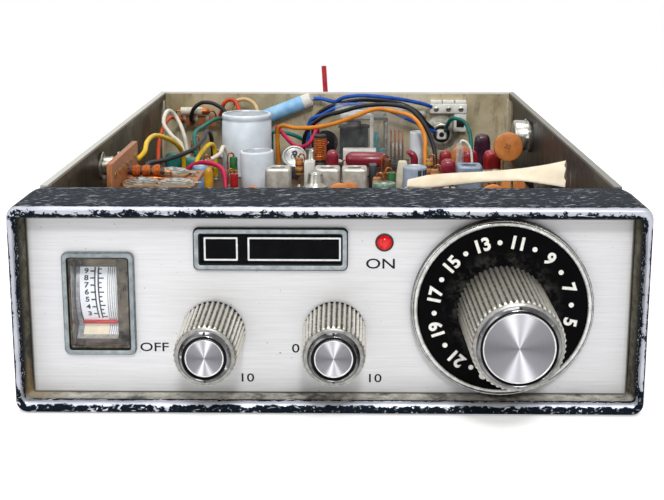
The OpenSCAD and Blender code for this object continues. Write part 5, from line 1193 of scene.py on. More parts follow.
def makeCoilCans():
    # drawn tin can, satin, dulled by age
    can = finish("drawnTin", "#c9c6be", "#a29e94", spot=2.6, rough=(0.3, 0.5), mark=("#57534a", 1.2, 0.68), metal=0.6)
    # painted tin: bluish grey, half matt, and ferrite: nearly black and grainy
    painted = finish("greyPaintedTin", "#8997a6", "#6d7b8b", spot=3, rough=(0.35, 0.5), mark=("#454d57", 1.0, 0.68),
        metal=0.3)
    slug = finish("ferriteSlug", "#2c2a28", "#141312", spot=1, rough=(0.5, 0.7), relief=0.02)
    w, h, r = coilCanSpec["side"], coilCanSpec["high"], coilCanSpec["slug"]
    for i, (x, y) in enumerate(coilCanSpec["spots"]):
        metal, hole = (painted, 2.9) if i == coilCanSpec["dark"] else (can, r)
        rows = [(w, 1.1, 0.1), (w, 1.1, 0.3), (w, 1.2, h - 0.9), (w - 0.25, 1.2, h - 0.35), (w - 0.8, 1.2, h - 0.06),
            (w - 1.5, 1.4, h), (2 * hole + 0.5, hole + 0.25, h - 0.02), (2 * hole, hole, h - 0.25),
            (2 * hole, hole, h - 1.6)]
        put(loft([roundLoop(a, a, b, c, 6) for a, b, c in rows], True), metal, onBoard(x, y))
        spin = turn(rng.uniform(0, 180), "Z")
        put(loft([roundLoop(2 * hole, 2 * hole, hole, h - 1.6, 6),
            roundLoop(2 * hole - 0.6, 2 * hole - 0.6, hole - 0.3, h - 1.2, 6)], False, True), slug, onBoard(x, y))
        put(block(2 * hole - 1.0, 0.5, 0.25, 0.1, 0.05, h - 1.25), tin, onBoard(x, y) @ spin)
        for s in (1, -1):
            put(block(0.5, 2.0, 0.8, 0.1, 0.08, -0.1), tin, onBoard(x + s * (w / 2 + 0.1), y))
    makePiece("coilCans", ["coil_cans"])
    # plated can: pale and smooth
    steel = finish("crystalNickel", "#bcbab2", "#96938a", spot=3, rough=(0.22, 0.4), relief=0.008,
        mark=("#6a665b", 1.0, 0.69), metal=0.7)
    cw, cd, ch = crystalSpec["size"]
    for i in range(crystalSpec["across"]):
        for j in range(crystalSpec["rows"]):
            x, y = (start + crystalSpec["pitch"] * n for start, n in zip(crystalSpec["first"], (i, j)))
            rows = [(0.0, 0.0), (0.0, 0.9), (0.35, 1.1), (0.45, 1.3), (0.45, ch - 1.1), (0.6, ch - 0.5),
                (1.0, ch - 0.12), (1.7, ch)]
            put(loft([roundLoop(cw - a, cd - a, (cd - a) / 2, z, 8) for a, z in rows], True, True), steel,
                onBoard(x, y, 0.1))
            put(block(5.4, 0.05, 2.2, 0.02, 0.01), slug, onBoard(x, y - cd / 2 + 0.22, ch * 0.45))
    makePiece("crystalCans", ["crystals"])


makeCoilCans()
print("cans and crystals ready")


# dipped, boxed and capsule capacitors
dippedSpec = {
    "dipped": [(-1.3, 58, 5, 3.4, 12.7, "maroon"), (43.4, 62, 5, 4, 12, "red"), (42.3, 36, 6, 4.4, 13, "maroon"),
    (59.8, 79, 6.8, 4.6, 16, "purple"), (53, 63, 7, 4.6, 12, "red"), (62, 63, 7, 4.6, 12, "red"),
    (-46, 22, 3.4, 3, 12, "yellow"), (-56, 56, 8, 5, 10, "teal"), (-66, 72, 7, 5, 9, "teal")],
    "boxes": [(-9.4, 31, 4, 6, 13, "white"), (13.9, 25, 2.8, 5, 13, "black"), (9.5, 71, 13.4, 6, 11, "white")],
    "hook": (30.4, 54, 3.6, 3, 13), "wedge": (25, 30, 4.8, 3.2, 13.4), "capsule": (12, 59, 3.1, 16.6, 8.6),
}


def makeDipped():
    # resin dip: glossy, thicker toward the foot, dust on its shoulders
    resin = finishes({
        "maroon": ("maroonResin", "#96283a", "#6d1626", {"mark": ("#c0707c", 0.9, 0.72)}),
        "red": ("redResin", "#a8282b", "#7d1619", {"mark": ("#c97a76", 0.9, 0.72)}),
        "purple": ("purpleResin", "#4a2338", "#2b1220", {}),
        "teal": ("tealResin", "#1f7a70", "#12544e", {"rough": (0.2, 0.4)}),
        "yellow": ("yellowResin", "#e0a51f", "#b87d10", {"rough": (0.2, 0.4), "mark": ("#7d5410", 0.9, 0.7)}),
        "white": ("whiteEpoxy", "#dedcd4", "#c2c0b7",
        {"spot": 3, "mark": ("#8f8b7e", 0.9, 0.69), "rough": (0.35, 0.55)}),
        "black": ("blackEpoxy", "#2b2b30", "#18181b", {"spot": 3, "rough": (0.3, 0.5)}),
        "cream": ("creamEpoxy", "#e2dac4", "#c6bc9f",
        {"spot": 3, "mark": ("#958b6c", 1.0, 0.68), "rough": (0.35, 0.55)}),
    }, spot=4, rough=(0.16, 0.34), relief=0.02)
    for x, y, w, d, h, tone in dippedSpec["dipped"]:
        foot = 1.6
        rows = [(0, 0.12, 0.3), (0.03, 0.45, 0.6), (0.12, 0.78, 0.82), (0.28, 0.97, 0.97), (0.5, 1, 1),
            (0.75, 0.97, 0.98), (0.89, 0.86, 0.9), (0.96, 0.66, 0.74), (1.0, 0.3, 0.4)]
        put(loft([roundLoop(w * a, d * b, min(w * a, d * b) * 0.46, foot + (h - foot) * t, 5) for t, a, b in rows],
            True, True), resin[tone], onBoard(x, y) @ turn(rng.uniform(-6, 6), "Z"))
        for s in (-1, 1):
            lead([(x + s * w * 0.25, y, leadFoot), (x + s * w * 0.25, y, boardTop + 1.0),
                (x + s * w * 0.16, y, boardTop + 2.2)])
            solder(x + s * w * 0.25, y)
    for x, y, w, d, h, tone in dippedSpec["boxes"]:
        put(block(w, d, h - 0.4, 0.7, 0.35, 0.4), resin[tone], onBoard(x, y))
    x, y, w, d, h = dippedSpec["hook"]
    hook = [(0, 0, 0), (0.1, 0, 4), (0.3, 0, 8), (0.1, 0, 10.6), (-1.0, 0, 12), (-2.0, 0, 12.3), (-2.5, 0, 11.8)]
    put(tube(smoothRoute(hook, 4), [1.6] * 8 + [1.5] * 4 + [1.4] * 4 + [1.2] * 4 + [0.9] * 4 + [0.6], 14),
        resin["maroon"], onBoard(x, y))
    x, y, w, d, h = dippedSpec["wedge"]
    put(loft([roundLoop(w * a, d * b, 0.5, z, 4) for z, a, b in ((0.3, 1, 1), (0.6, 1.05, 1.05), (h * 0.6, 0.95, 0.95),
        (h - 0.8, 0.7, 0.85), (h - 0.2, 0.6, 0.75), (h, 0.4, 0.5))], True, True), resin["cream"], onBoard(x, y))
    x, y, r, long, lift = dippedSpec["capsule"]
    half = long / 2
    shape = [(0, -half), (r * 0.5, -half + 0.3), (r * 0.85, -half + 1.1), (r, -half + 2.4), (r, 0),
        (r * 0.98, half - 2.6), (r * 0.8, half - 1.2), (r * 0.45, half - 0.2), (0, half)]
    put(lathe(shape, 40), resin["maroon"], onBoard(x, y, lift) @ turn(90, "Y") @ turn(4, "X"))
    for s in (-1, 1):
        lead(smoothRoute([(x + s * (half - 0.4), y, boardTop + lift), (x + s * (half + 0.7), y, boardTop + lift - 0.4),
            (x + s * (half + 0.9), y, boardTop + lift - 2.0), (x + s * (half + 0.9), y, leadFoot)], 3), 0.34,
            copperLead)
        solder(x + s * (half + 0.9), y)
    makePiece("filmCapacitors", ["film_capacitors"])


makeDipped()


# disc capacitors on two leads
discSpec = {
    "small": [(1.6, 4, 7), (5.4, 8, 6.6), (-14, -12, 8), (10, -13, 8), (38, -12, 8), (54, -8, 9), (-28, -2, 7),
    (51, 76, 8.6), (63, 8, 9)],
    "thick": 2.2, "lift": 3.0, "big": (66, 46, 5.6, 16.0),
}


def discShape(r, t, flat, shoulder):
    half = [(r * flat, t / 2), (r * shoulder, t * 0.36), (r, t * 0.1)]
    return [(0, -t / 2)] + [(a, -z) for a, z in half] + half[::-1] + [(0, t / 2)]


def makeDiscs():
    # fired clay dipped in orange wax: matt, a little blotched
    clay = finish("waxedCeramic", "#d98a45", "#b86a2c", spot=3, rough=(0.4, 0.6), relief=0.025,
        mark=("#8f5424", 1.0, 0.69))
    # ink on the ceramic: brown and flat
    mark = finish("discPrint", "#7a4a24", "#5e3718", spot=0.8, rough=(0.5, 0.7), relief=0.002)
    for x, y, dia in discSpec["small"]:
        r, t = dia / 2, discSpec["thick"]
        z = discSpec["lift"] + r
        spot = onBoard(x, y, z) @ turn(rng.uniform(-9, 9), "Z") @ turn(90, "X")
        put(lathe(discShape(r, t, 0.7, 0.93), 36), clay, spot)
        for s in (-1, 1):
            put(tube([(x + s * dia / 4, y, boardTop + 1.4), (x + s * dia / 4, y, boardTop + 2.6),
                (x + s * dia * 0.22, y, boardTop + z - r * 0.5)], [0.35, 0.7, 0.9], 10), clay)
            leg(x + s * dia / 4, y, boardTop + 2.2, 0.3, copperLead)
    x, y, r, lift = discSpec["big"]
    t = 2.4
    spot = onBoard(x, y, lift)
    put(lathe(discShape(r, t, 0.75, 0.95), 48), clay, spot @ turn(90, "X"))
    front = spot @ at(-0.4, -t / 2 - 0.01, 0.2) @ turn(20, "Y") @ turn(90, "X")
    put(lettering("20", 1.8, 0.03, 1.0, bold=0.01), mark, front)
    for path in ([(1.4, 0.2, -5.0), (1.9, 0.4, -7.2), (2.4, 0.3, -10.0), (2.6, 0, -16.1)],
            [(-1.6, 0.2, -5.0), (-1.9, 0.2, -8.0), (-2.2, 0, -16.1)]):
        lead([spot @ Vector(p) for p in smoothRoute(path, 4)], 0.36, copperLead)
        solder(x + path[-1][0], y)
    makePiece("discCapacitors", ["disc_capacitors"])


makeDiscs()


# resistors standing on end, one lead bent over and down
resistorSpec = {
    "spots": [(15, 8), (20.5, 18), (36.5, 24), (-36, 15), (36, 46), (20, 46), (-14, 48), (-39.5, 50), (56, 12),
    (-58, 16), (-24, -46), (-8, -46), (8, -46), (-48, 44), (-60, 92)],
    "looks": "tgtrtbtgtbttttt", "r": 1.5, "high": 7.0, "lift": 4.4, "foot": (2.3, -0.9),
    "bands": ["#8c1f1f", "#d98a1f", "#3a2414", "#caa437"],
}


def makeResistors():
    # moulded composition: sandy and dull, and glazes: clear colours with a shine
    bodies = {
        "t": finish("tanComposition", "#b98350", "#946038", spot=1.6, rough=(0.4, 0.6), relief=0.015),
        "g": finish("greenGlaze", "#3f7d4c", "#27552f", spot=1.6, rough=(0.2, 0.4)),
        "b": finish("brownGlaze", "#6b4026", "#472815", spot=1.6, rough=(0.25, 0.45)),
        "r": finish("redGlaze", "#b8232a", "#86151b", spot=1.6, rough=(0.15, 0.3), relief=0.008),
    }
    # ring paint: flat, clear colours
    bands = enumerate(resistorSpec["bands"])
    rings = [finish("ringPaint" + str(i), tone, tone, spot=1, rough=(0.35, 0.5), relief=0.004) for i, tone in bands]
    r, h, lift = resistorSpec["r"], resistorSpec["high"], resistorSpec["lift"]
    for i, (x, y) in enumerate(resistorSpec["spots"]):
        place = onBoard(x, y, lift)
        put(lathe([(0, 0), (r * 0.6, 0.05), (r * 0.92, 0.3), (r, 0.8), (r, h - 0.8), (r * 0.92, h - 0.3),
            (r * 0.6, h - 0.05), (0, h)], 24), bodies[resistorSpec["looks"][i]], place)
        for k in range(4 if resistorSpec["looks"][i] == "t" else 1):
            z = 1.2 + 1.25 * k
            put(lathe([(r, z), (r + 0.05, z + 0.1), (r + 0.05, z + 0.6), (r, z + 0.7)], 24), rings[(i + k) % 4], place)
        lead([(x, y, leadFoot), (x, y, boardTop + lift + 0.3)], 0.34, copperLead)
        side, top, (fx, fy) = -1 if i % 2 else 1, boardTop + lift + h, resistorSpec["foot"]
        arch = [(x, y, top - 0.2), (x, y, top + 0.7), (x + side * 1.0, y - 0.4, top + 1.5),
            (x + side * 2.1, y - 0.8, top + 0.4), (x + side * fx, y + fy, boardTop + lift + 2),
            (x + side * fx, y + fy, leadFoot)]
        lead(smoothRoute(arch, 4), 0.34, copperLead)
        solder(x, y)
        solder(x + side * fx, y + fy)
    makePiece("bandedResistors", ["resistors"])


makeResistors()


# metal can transistors, and the power transistor bolted to the right wall
hatSpec = {"spots": [(-6.6, 7, 7.6), (20, -14, 3), (-46, -4, 3), (40, 2, 3), (64, -8, 3), (-10, 84, 3)], "brim": 4.1,
    "can": 3.6, "high": 6.0, "power": (74.9, 62, 44)}


def makeTransistors():
    # drawn nickel: near mirrors with few stains, and seal glass: dark green
    nickel = finish("nickelCan", "#b3b1aa", "#97958d", spot=4, rough=(0.2, 0.32), relief=0.003,
        mark=("#6b665b", 1.0, 0.72), metal=0.85)
    smooth = finish("plainNickel", "#c2c0b8", "#aaa89f", spot=9, rough=(0.22, 0.3), relief=0.001, metal=0.85)
    glass = finish("sealGlass", "#4a6b6a", "#2d4443", spot=1, rough=(0.2, 0.4), relief=0.004)
    b, c, h = hatSpec["brim"], hatSpec["can"], hatSpec["high"]
    for x, y, lift in hatSpec["spots"]:
        place = onBoard(x, y, lift)
        turned(place, 40, (nickel, [(b - 0.4, 0), (b, 0.15), (b, 0.6), (b - 0.1, 0.8), (c + 0.1, 0.9), (c - 0.15, 1.2),
            (c - 0.6, 2.2), (c - 1.0, h - 0.9), (c - 1.2, h - 0.35), (c - 1.7, h), (0, h)]),
            (glass, [(0, 0.05), (b - 0.4, 0.0)]))
        put(block(1.1, 0.9, 0.7, 0.1, 0.1), nickel, place @ turn(225, "Z") @ at(b + 0.2, 0, 0.05))
        for k in range(3):
            a = radians(120 * k + 90)
            leg(x + 1.8 * cos(a), y + 1.8 * sin(a), boardTop + lift + 0.1, 0.3)
    x, y, z = hatSpec["power"]
    wall = at(x + 1.6, y, z) @ turn(-90, "Y")
    put(loft([roundLoop(12, 18, 5, 0.0, 6), roundLoop(12, 18, 5, 1.3, 6), roundLoop(11.4, 17.4, 4.8, 1.6, 6)], True,
        True), nickel, wall)
    put(lathe([(6.0, 1.5), (6.0, 5.9), (5.7, 6.4), (5.2, 6.6), (0, 6.6)], 48), smooth, wall)
    for s in (-1, 1):
        put(lathe([(1.7, 1.5), (1.7, 2.6), (1.4, 2.9), (0, 2.9)], 20), tin, wall @ at(0, s * 7.1, 0))
    makePiece("transistorCans", ["transistors"])


makeTransistors()
print("small parts ready")


# wound coils: an upright one on a black base, a can lying on its stem, and a choke between the boards
coilSpec = {"upright": (-6.4, 69), "lying": (-16.6, 66), "choke": (-66.2, -22, 44.8)}


def winding(radius, pitch, turns, start, bulge):
    steps = 18
    total = int(turns * steps)
    points = []
    for i in range(total + 1):
        a = tau * i / steps
        r = radius + bulge * sin(pi * i / total)
        points.append(Vector((r * cos(a), r * sin(a), start + pitch * i / steps)))
    return points


def makeCoils():
    # enamelled copper wire, laid turn by turn, glossy orange brown
    enamel = finish("enamelledCopper", "#d97a38", "#a04c1d", spot=1.2, rough=(0.2, 0.35), relief=0.006, metal=0.6)
    # phenolic tube: black and matt, turned shell: bright, ferrite: brown and dry
    former = finish("formerPhenolic", "#26272c", "#141418", rough=(0.4, 0.6), relief=0.02)
    shell = finish("turnedAluminium", "#b4b5b3", "#8d8e8a", rough=(0.2, 0.4), relief=0.008, mark=("#5d594f", 1.2, 0.7),
        metal=0.5)
    ferrite = finish("chokeFerrite", "#4a3226", "#2e1d15", spot=1.5, rough=(0.4, 0.6), relief=0.02)
    x, y = coilSpec["upright"]
    put(lathe([(0, 0), (2.6, 0), (2.8, 0.3), (2.8, 5.5), (2.55, 6.0), (1.95, 6.1), (1.9, 11.6), (1.9, 15.6),
        (2.5, 15.7), (2.55, 16.7), (2.2, 17.1), (0.9, 17.15), (0.8, 16.4), (0, 16.4)], 32), former, onBoard(x, y))
    put(tube(winding(2.22, 0.72, 13, 6.5, 0.15), 0.33, 8), enamel, onBoard(x, y))
    lead(smoothRoute([(x + 2.2, y, boardTop + 6.5), (x + 3.1, y - 0.3, boardTop + 5.6), (x + 3.4, y - 0.4, leadFoot)],
        4), 0.3, enamel)
    x, y = coilSpec["lying"]
    put(lathe([(2.0, 0), (2.0, 5.4), (1.8, 6.0), (0, 6.2)], 24), former, onBoard(x, y))
    disc = onBoard(x, y, 7.6) @ turn(50, "X")
    put(lathe([(0, -2.5), (4.6, -2.5), (5, -2.1), (5, 1.9), (4.75, 2.35), (4.2, 2.5), (4.0, 2.2), (3.6, 2.05),
        (1.4, 2.0), (1.1, 1.7), (0, 1.7)], 48), shell, disc)
    put(tube(smoothRoute([(0.2, 0.6, 1.8), (0.9, 1.5, 2.2), (0.4, 2.3, 2.2), (-0.6, 1.9, 2.2), (-0.2, 0.9, 2.2),
        (0.5, -0.4, 2.2), (0.7, -1.8, 2.2)], 5), 0.35, 8), former, disc)
    x, y, z = coilSpec["choke"]
    along = at(x, y, z) @ turn(90, "Y")
    put(lathe([(0, -0.8), (1.1, -0.8), (1.25, -0.4), (1.25, 10.4), (1.1, 10.8), (0, 10.8)], 24), ferrite, along)
    for k in range(3):
        put(tube(winding(1.55, 0.5, 5.5, 0.5 + 3.3 * k, 0.4), 0.27, 8), enamel, along)
    lead(smoothRoute([(x + 10.4, y, z), (x + 12, y, z), (x + 13, y + 0.1, z - 0.6), (x + 13.2, y, z - 2.4)], 4), 0.4,
        copperLead)
    lead(smoothRoute([(x + 0.2, y, z), (x - 0.6, y, z), (x - 1.0, y, z)], 3), 0.4, copperLead)
    lead(smoothRoute([(x - 0.8, y - 2.4, z - 1.6), (x + 3, y - 2.7, z - 1.8), (x + 8, y - 2.5, z - 1.7),
        (x + 13.2, y - 1.2, z - 2.4)], 4), 0.36, copperLead)
    makePiece("windings", ["rf_coils"])


makeCoils()


# compression trimmers: stacked mica and spring leaves under a screw
trimmerSpec = {"flat": [(-54, -15), (-61, -33), (-50, -34)], "plate": (12, 10), "deck": 42.2,
    "leaf": (60, 34, 10.8, 8, 9), "glass": (17.3, -2)}


# screw head whose slot is a thin dark sheet on its top: painted shade
def slottedHead(place, r, h, metal, dark):
    put(lathe([(r, 0), (r, h * 0.5), (r * 0.85, h * 0.85), (r * 0.5, h), (0, h)], 24), metal, place)
    put(block(r * 1.7, r * 0.26, 0.06, 0.02, 0.01, h - 0.02), dark, place)


def makeTrimmers():
    # mica: silvery leaves, spring bronze: plated bright, phenolic: tan
    mica = finish("micaLeaf", "#c9c4b2", "#a09a84", rough=(0.25, 0.45), mark=("#6e6753", 1.0, 0.71), metal=0.35)
    spring = finish("springBronze", "#bdbbb4", "#8c8a82", rough=(0.2, 0.4), relief=0.008, mark=("#5f5a4f", 1.2, 0.67),
        metal=0.75)
    base = finish("basePhenolic", "#a5845a", "#7a5d3a", spot=3, rough=(0.4, 0.6), relief=0.015)
    # painted shade for the screw slots: dark, and glass: jade green that lets light in
    dark = finish("slotShadePaint", "#1d1b18", "#0e0d0c", spot=0.6, rough=(0.5, 0.7), relief=0.004)
    jade = finish("greenGlass", "#7fa388", "#57765f", spot=1.5, rough=(0.08, 0.2), relief=0.004,
        sockets={"Transmission Weight": 0.35, "IOR": 1.45})
    w, d = trimmerSpec["plate"]
    for i, (x, y) in enumerate(trimmerSpec["flat"]):
        place = at(x, y, trimmerSpec["deck"]) @ turn((-8, 14, 5)[i], "Z")
        put(block(w, d, 1.0, 1.6, 0.2), base, place)
        for k in range(3):
            put(block(w - 1 - 0.7 * k, d - 1.4 - 0.5 * k, 0.26, 3.4, 0.06, 1.0 + 0.34 * k), mica if k % 2 else spring,
                place @ turn(3 * k - 3, "Z"))
        put(lathe([(3.1, 1.95), (3.1, 2.2), (2.8, 2.3), (2.0, 2.3), (1.9, 2.1)], 32), spring, place)
        slottedHead(place @ at(0, 0, 1.9), 1.7, 0.9, spring, dark)
        put(block(2.6, 2.0, 0.3, 0.4, 0.06, 0.7), spring, place @ at(w / 2 + 0.8, 1.5, 0))
    x, y, lw, ld, lh = trimmerSpec["leaf"]
    place = onBoard(x, y)
    put(block(lw, ld, lh - 2.2, 0.8, 0.3), base, place)
    for k in range(4):
        put(block(lw - 0.4 - 0.5 * (k % 2), ld - 0.3, 0.32, 1.4, 0.06, lh - 2.2 + 0.5 * k), spring if k % 2 else mica,
            place @ turn((-2, 3, -1, 4)[k], "Z"))
    slottedHead(place @ at(0, 0, lh - 0.4), 1.8, 0.9, spring, dark)
    x, y = trimmerSpec["glass"]
    put(lathe([(0, 0), (1.5, 0), (1.5, 9.0), (0, 9.0)], 20), base, onBoard(x, y))
    put(lathe([(0, 8.9), (3.6, 8.9), (4.1, 9.3), (4.1, 10.9), (3.8, 11.3), (2.2, 11.4), (2.0, 11.1), (0, 11.1)], 40),
        jade, onBoard(x, y))
    slottedHead(onBoard(x, y, 11.0), 1.3, 0.5, spring, dark)
    makePiece("trimmers", ["mica_trimmers"])


makeTrimmers()


# phenolic boards: one on edge along the left wall, one on its deck, and a tag strip on the rear wall
boardSpec = {"edge": (-68.1, -25.5, 26, 1.8, 45, 25.8), "deck": (-55.7, -24, 40.4, 23, 36, 1.8), "post": (-47.2, -24),
    "strip": (-57, 115.2, 42, 26, 1.6, 5)}


def makeBoards():
    # punched paper phenolic: orange brown, layers showing at the cut edges
    brown = finish("punchedPhenolic", "#b4713d", "#8a4f26", spot=2.2, rough=(0.35, 0.6), relief=0.02,
        stretch=(2.2, 1, 1), mark=("#5e3418", 1.6, 0.66))
    # brass: dull gold
    eyelet = finish("eyeletBrass", "#b9a36a", "#8a7544", spot=1, rough=(0.25, 0.45), relief=0.006, metal=0.8)
    ring = lathe([(0.6, 0), (1.1, 0.05), (1.1, 0.25), (0.6, 0.3)], 16)
    x, y, z, w, d, h = boardSpec["edge"]
    put(block(w, d, h, 0.2, 0.15), brown, at(x, y, z))
    for i in range(6):
        put(ring, eyelet, at(x + w / 2, y - d / 2 + 5 + 7 * i, z + h - 4.2) @ turn(90, "Y"))
    x, y, z, w, d, h = boardSpec["deck"]
    put(block(w, d, h, 0.5, 0.15), brown, at(x, y, z))
    for i in range(5):
        put(ring, eyelet, at(x + w / 2 - 2, y - d / 2 + 4 + 7 * i, z + h))
    x, y = boardSpec["post"]
    put(lathe([(1.5, 0), (1.5, 14.2), (2.2, 14.3), (2.2, 14.5), (0, 14.5)], 20), eyelet, onBoard(x, y))
    x, y, z, w, d, h = boardSpec["strip"]
    put(block(w, d, h, 0.2, 0.15, -h / 2), brown, at(x, y, z))
    for i in range(5):
        lug = at(x - 10 + 5 * i, y - d / 2 - 0.1, z)
        put(block(1.6, 0.4, 6.6, 0.1, 0.08, -3.3), tin, lug)
        put(lathe([(0.5, 0), (0.95, 0.05), (0.95, 0.2), (0.5, 0.25)], 14), eyelet, lug @ at(0, -0.2, 0) @ turn(90, "X"))
    for s in (-1, 1):
        put(block(2.4, 3.4, 3.0, 0.2, 0.15, -1.5), tin, at(x + s * (w / 2 - 3), y + 2.2, z))
    makePiece("terminalBoards", ["terminal_boards"])


makeBoards()


# plug-in relay: coil and contact springs under a clear moulded cover
relaySpec = {"low": (-0.9, 82, 26), "high": (29.5, 102, 51.8), "coilX": 7.3, "midY": 92,
    "leaves": [22.9, 24.5, 26.1, 27.7]}


def makeRelay():
    # coil tape: black with fine turns, iron: grey, bronze: copper gold
    coilTape = finish("coilTape", "#15171b", "#08090b", rough=(0.45, 0.6), relief=0.02, stretch=(1, 1, 5), shine=0.1)
    iron = finish("relayIron", "#a5a39b", "#77756e", spot=2.5, rough=(0.3, 0.5), metal=0.7)
    bronze = finish("contactBronze", "#c89a63", "#9c6e3c", spot=1.5, rough=(0.25, 0.4), relief=0.006, metal=0.75)
    # fibre, nylon and phenolic: plain moulded colours, half matt
    teal = finish("tealFibre", "#1d7f86", "#125a60", spot=1.5, rough=(0.4, 0.6))
    nylon = finish("relayNylon", "#e2e1dc", "#c8c7c0")
    black = finish("blackPhenolic", "#232326", "#131315", rough=(0.4, 0.55), relief=0.015)
    x0, y0, z0 = relaySpec["low"]
    x1, y1, z1 = relaySpec["high"]
    cx, cy = (x0 + x1) / 2, relaySpec["midY"]
    put(block(x1 - x0 - 2.2, y1 - y0 - 2.2, 2.6, 0.8, 0.2), black, at(cx, cy, z0 + 0.3))
    coilX = relaySpec["coilX"]
    put(lathe([(0, 29.3), (6.6, 29.3), (6.6, 30.2), (6.0, 30.3), (6.05, 36), (6.0, 42.5), (6.6, 42.6), (6.6, 43.4),
        (3, 43.4), (3, 45.3), (2.7, 45.4), (0, 45.4)], 40), coilTape, at(coilX, cy, 0))
    put(lathe([(3.05, 43.4), (3.05, 45.3), (2.75, 45.45), (0, 45.45)], 32), iron, at(coilX, cy, 0))
    put(block(1.4, 12, 16.8, 0.2, 0.15), iron, at(20.6, cy, 29))
    put(block(14.6, 12, 1.0, 0.2, 0.15), iron, at(14, cy, 28.4))
    for x in relaySpec["leaves"]:
        put(block(0.35, 5.4, 14, 0.08, 0.05), bronze, at(x, cy, 28))
        put(lathe([(0.7, -0.3), (0.9, 0), (0.7, 0.3)], 12), iron, at(x, cy - 1.2, 41) @ turn(90, "Y"))
        put(tube(smoothRoute([(x, cy - 2.2, 28.2), (x + 0.1, cy - 4.4, 32), (x - 0.1, cy - 4.8, 38),
            (x, cy - 2.6, 41.6)], 4), 0.3, 8), copperLead)
    for size, look, spot in (
            ((5.4, 4.6, 2.2, 0.4, 0.2), nylon, (25.3, cy, 33.5)),
            ((1.5, 1.2, 22, 0.2, 0.15), nylon, (14.6, y0 + 2.6, z0 + 1)),
            ((1.7, 0.9, 12, 0.2, 0.12), teal, (16.6, y0 + 2.2, z0 + 4)),
            ((2.8, 0.9, 6, 0.4, 0.12), teal, (19.0, y0 + 2.0, z0 + 3)),
            ((12.6, 13.0, 2.2, 0.5, 0.2), nylon, (coilX + 0.6, cy, 46.9)),
            ((13.0, 13.4, 0.9, 0.5, 0.2), nylon, (coilX, cy, 28.6))):
        put(block(*size), look, at(*spot))
    makePiece("relayWorks", ["relay_base"])
    # clear styrene, crazed and dusty, with thick rounded corners
    clear = clearPlastic("clearStyrene", 0.05, 3.0)
    # milky styrene on the cover's top and rounded edges: rubbed, and lighter as a painted highlight for the light they
    # catch
    milkyGlint = clearPlastic("glintStyrene", 0.3, 6.0)
    w, d, h = x1 - x0, y1 - y0, z1 - z0
    place = at(cx, cy, z0)
    rows = [roundLoop(w - 2 * a, d - 2 * a, 1.6 - a * 0.4, z, 5)
        for a, z in ((0, 0), (0, h - 1.6), (0.25, h - 0.8), (0.8, h - 0.25), (1.7, h))]
    inner = [roundLoop(w - 2 * a, d - 2 * a, 0.9, z, 5) for a, z in ((1.5, 0), (1.5, h - 1.4), (1.7, h - 1.0))]
    put(loft(rows[:3]), clear, place)
    put(loft(rows[2:], False, True), milkyGlint, place)
    put(loft(inner, False, True), clear, place)
    put(loft([roundLoop(w - 3.0, d - 3.0, 0.9, 0, 5), roundLoop(w, d, 1.6, 0, 5)]), clear, place)
    makePiece("relayCover", ["relay_cover"])


makeRelay()
print("coils, boards and relay ready")


# varnished cloth sleeving, slit open and flattened, torn at its wide end
stripSpec = {"start": (24, -33, 42.8), "turn": -25, "rise": 10, "long": 51, "wide": (5.6, 8.6), "thick": 1.9}


def makeStrip():
    # varnished cloth: cream and woven, with brown flecks
    cloth = finish("varnishedCloth", "#f2e7d0", "#dfcfb0", spot=6, grain=0.6, relief=0.04, mark=("#6d5f42", 0.9, 0.71))
    frameOf = at(*stripSpec["start"]) @ turn(stripSpec["turn"], "Z") @ turn(-stripSpec["rise"], "Y")
    loops, rows = [], 26
    narrow, wide = stripSpec["wide"]
    for i in range(rows + 1):
        t = i / rows
        ragged = {rows: 1, rows - 1: 0.3}.get(i, 0)
        flare = max(0.0, (t - 0.72) / 0.28) ** 1.4
        half = (narrow + (wide - narrow) * flare) / 2 * (0.55 + 0.45 * min(1.0, t / 0.12))
        thick = stripSpec["thick"] / 2 * (1.0 - 0.35 * flare)
        roll = radians(30 + 28 * flare + 5 * sin(9 * t))
        sway = 0.5 * sin(5.2 * t + 0.5) - 1.0 * flare
        loop = []
        for k in range(20):
            a = tau * k / 20
            u, v = half * cos(a), thick * sin(a) + 0.22 * sin(3 * cos(a) + 7 * t)
            tear = (0.25 * sin(6 * a) + 0.2 * cos(9 * a) - 2.2 * exp(-((a - 3.75) / 0.3) ** 2)) * ragged
            across, up = u * cos(roll) - v * sin(roll), sway + u * sin(roll) + v * cos(roll)
            loop.append(frameOf @ Vector((stripSpec["long"] * t + tear, across, up)))
        loops.append(loop)
    put(loft(loops, True, True), cloth)
    spin = radians(stripSpec["turn"])
    for along in (14, 34):
        x, y = stripSpec["start"][0] + along * cos(spin), stripSpec["start"][1] + along * sin(spin)
        leg(x, y, stripSpec["start"][2] + along * tan(radians(stripSpec["rise"])), 0.36)
    makePiece("insulatingStrip", ["insulating_strip"])


makeStrip()


